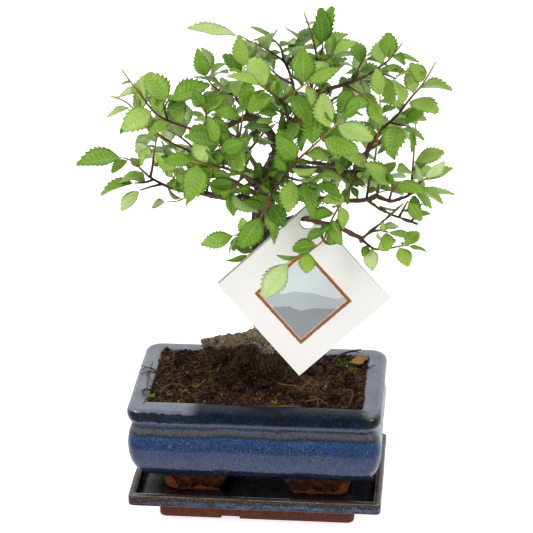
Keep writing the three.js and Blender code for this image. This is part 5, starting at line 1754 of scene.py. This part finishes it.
def make_stage(stage):
    """Floor, soft lights, a bright room and the camera."""
    deselect_all()
    bpy.ops.mesh.primitive_plane_add(size=6, location=(0, 0, -0.0002))
    floor = bpy.context.object
    floor.name = "floor"
    floor.visible_glossy = False
    f = Finish("studio floor", roughness=0.9, emission_strength=0.7, emission_color=(1, 1, 1, 1))
    f.tint = f.mix(f.noise(3, 2), stage.floor, "f6f6f6")
    coat(floor, f.done())
    make_room(stage)
    for name, where, size, power in LAMPS:
        shine = bpy.data.lights.new(name, "AREA")
        shine.size, shine.energy = size, power
        lamp = link(name, shine)
        lamp.location = where
        lamp.rotation_euler = (Vector(LIT_POINT) - Vector(where)).to_track_quat("-Z", "Y").to_euler()
    make_camera(stage)


def make_room(stage):
    """A room that looks white, and is bright behind the pot and dim in front of it."""
    world = bpy.data.worlds.new("studio")
    world.use_nodes = True
    nodes, links = world.node_tree.nodes, world.node_tree.links
    room = nodes["Background"]
    way = nodes.new("ShaderNodeSeparateXYZ")
    depth = nodes.new("ShaderNodeMapRange")
    depth.interpolation_type = "SMOOTHSTEP"
    white = nodes.new("ShaderNodeBackground")
    choice = nodes.new("ShaderNodeMixShader")
    limits = {"From Min": -0.3, "From Max": 0.5, "To Min": stage.front_light, "To Max": stage.back_light}
    for key, value in limits.items():
        depth.inputs[key].default_value = value
    room.inputs["Color"].default_value = white.inputs["Color"].default_value = (1, 1, 1, 1)
    white.inputs["Strength"].default_value = 1.05
    links.new(nodes.new("ShaderNodeTexCoord").outputs["Generated"], way.inputs[0])
    links.new(way.outputs["Y"], depth.inputs["Value"])
    links.new(depth.outputs[0], room.inputs["Strength"])
    links.new(nodes.new("ShaderNodeLightPath").outputs["Is Camera Ray"], choice.inputs["Fac"])
    links.new(room.outputs[0], choice.inputs[1])
    links.new(white.outputs[0], choice.inputs[2])
    links.new(choice.outputs[0], nodes["World Output"].inputs["Surface"])
    bpy.context.scene.world = world
    bpy.context.scene.view_settings.view_transform = "Standard"


def make_camera(stage):
    """The camera, aimed between the pot and the crown."""
    azimuth, elevation, roll = stage.azimuth, stage.elevation, math.radians(CAMERA_ROLL)
    ahead, level = math.cos(elevation), Vector((math.cos(azimuth), math.sin(azimuth), 0))
    away = Vector((math.sin(azimuth) * ahead, -math.cos(azimuth) * ahead, math.sin(elevation)))
    up = away.cross(level)
    right = level * math.cos(roll) + up * math.sin(roll)
    up = up * math.cos(roll) - level * math.sin(roll)
    data = bpy.data.cameras.new("camera")
    data.sensor_width, data.lens = SENSOR, FOCAL_PIXELS / PHOTO_PIXELS * SENSOR
    camera = link("camera", data)
    turn = Matrix((right, up, away)).transposed().to_4x4()
    camera.matrix_world = Matrix.Translation(Vector(spot(LOOKED_AT)) + away * stage.distance) @ turn
    bpy.context.scene.camera = camera


# Operators and panel


class MakePot(bpy.types.Operator):
    """Model the glazed pot with its feet"""

    bl_idname = "bonsai.make_pot"
    bl_label = "Glazed pot"

    def execute(self, context):
        make_pot(context.scene.bonsai_pot)
        return {"FINISHED"}


class MakeTray(bpy.types.Operator):
    """Model the drip tray with its foot ring"""

    bl_idname = "bonsai.make_tray"
    bl_label = "Drip tray"

    def execute(self, context):
        make_tray(context.scene.bonsai_tray)
        return {"FINISHED"}


class MakeSoil(bpy.types.Operator):
    """Model the soil and what lies on it"""

    bl_idname = "bonsai.make_soil"
    bl_label = "Soil"

    def execute(self, context):
        make_soil(context.scene.bonsai_soil)
        make_litter(context.scene.bonsai_soil)
        return {"FINISHED"}


class MakeWood(bpy.types.Operator):
    """Model the trunk, roots and limbs"""

    bl_idname = "bonsai.make_wood"
    bl_label = "Trunk and limbs"

    def execute(self, context):
        make_wood(context.scene.bonsai_tree)
        return {"FINISHED"}


class MakeSprays(bpy.types.Operator):
    """Model the leafy sprays"""

    bl_idname = "bonsai.make_sprays"
    bl_label = "Leafy sprays"

    def execute(self, context):
        make_sprays(context.scene.bonsai_tree)
        return {"FINISHED"}


class MakeTag(bpy.types.Operator):
    """Model the folded paper tag"""

    bl_idname = "bonsai.make_tag"
    bl_label = "Paper tag"

    def execute(self, context):
        make_tag(context.scene.bonsai_tag)
        return {"FINISHED"}


class MakeStage(bpy.types.Operator):
    """Set up the floor, lights and camera"""

    bl_idname = "bonsai.make_stage"
    bl_label = "Stage"

    def execute(self, context):
        make_stage(context.scene.bonsai_stage)
        return {"FINISHED"}


class BonsaiPanel(bpy.types.Panel):
    """Sizes, colours and makers of the bonsai"""

    bl_idname = "VIEW3D_PT_bonsai"
    bl_label = "Potted Zelkova"
    bl_space_type = "VIEW_3D"
    bl_region_type = "UI"
    bl_category = "Bonsai"

    def draw(self, context):
        for name, (_, makers) in PARTS.items():
            box = self.layout.box()
            for maker in makers:
                box.operator(maker.bl_idname)
            settings = getattr(context.scene, name)
            for key in settings.bl_rna.properties.keys():
                if key not in ("rna_type", "name"):
                    box.prop(settings, key)


# Each part's settings, with their class and the operators that use them
PARTS = {
    "bonsai_pot": (PotSettings, [MakePot]),
    "bonsai_tray": (TraySettings, [MakeTray]),
    "bonsai_soil": (SoilSettings, [MakeSoil]),
    "bonsai_tree": (TreeSettings, [MakeWood, MakeSprays]),
    "bonsai_tag": (TagSettings, [MakeTag]),
    "bonsai_stage": (StageSettings, [MakeStage]),
}
CLASSES = [cls for group, makers in PARTS.values() for cls in (group, *makers)] + [BonsaiPanel]


def register():
    for cls in CLASSES:
        bpy.utils.register_class(cls)
    for name, (group, _) in PARTS.items():
        setattr(bpy.types.Scene, name, PointerProperty(type=group))


def unregister():
    for name in PARTS:
        delattr(bpy.types.Scene, name)
    for cls in reversed(CLASSES):
        bpy.utils.unregister_class(cls)


def main():
    register()
    bpy.ops.bonsai.make_stage()
    bpy.ops.bonsai.make_pot()
    bpy.ops.bonsai.make_tray()
    bpy.ops.bonsai.make_soil()
    bpy.ops.bonsai.make_wood()
    bpy.ops.bonsai.make_sprays()
    bpy.ops.bonsai.make_tag()
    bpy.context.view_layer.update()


if __name__ == "__main__":
    main()
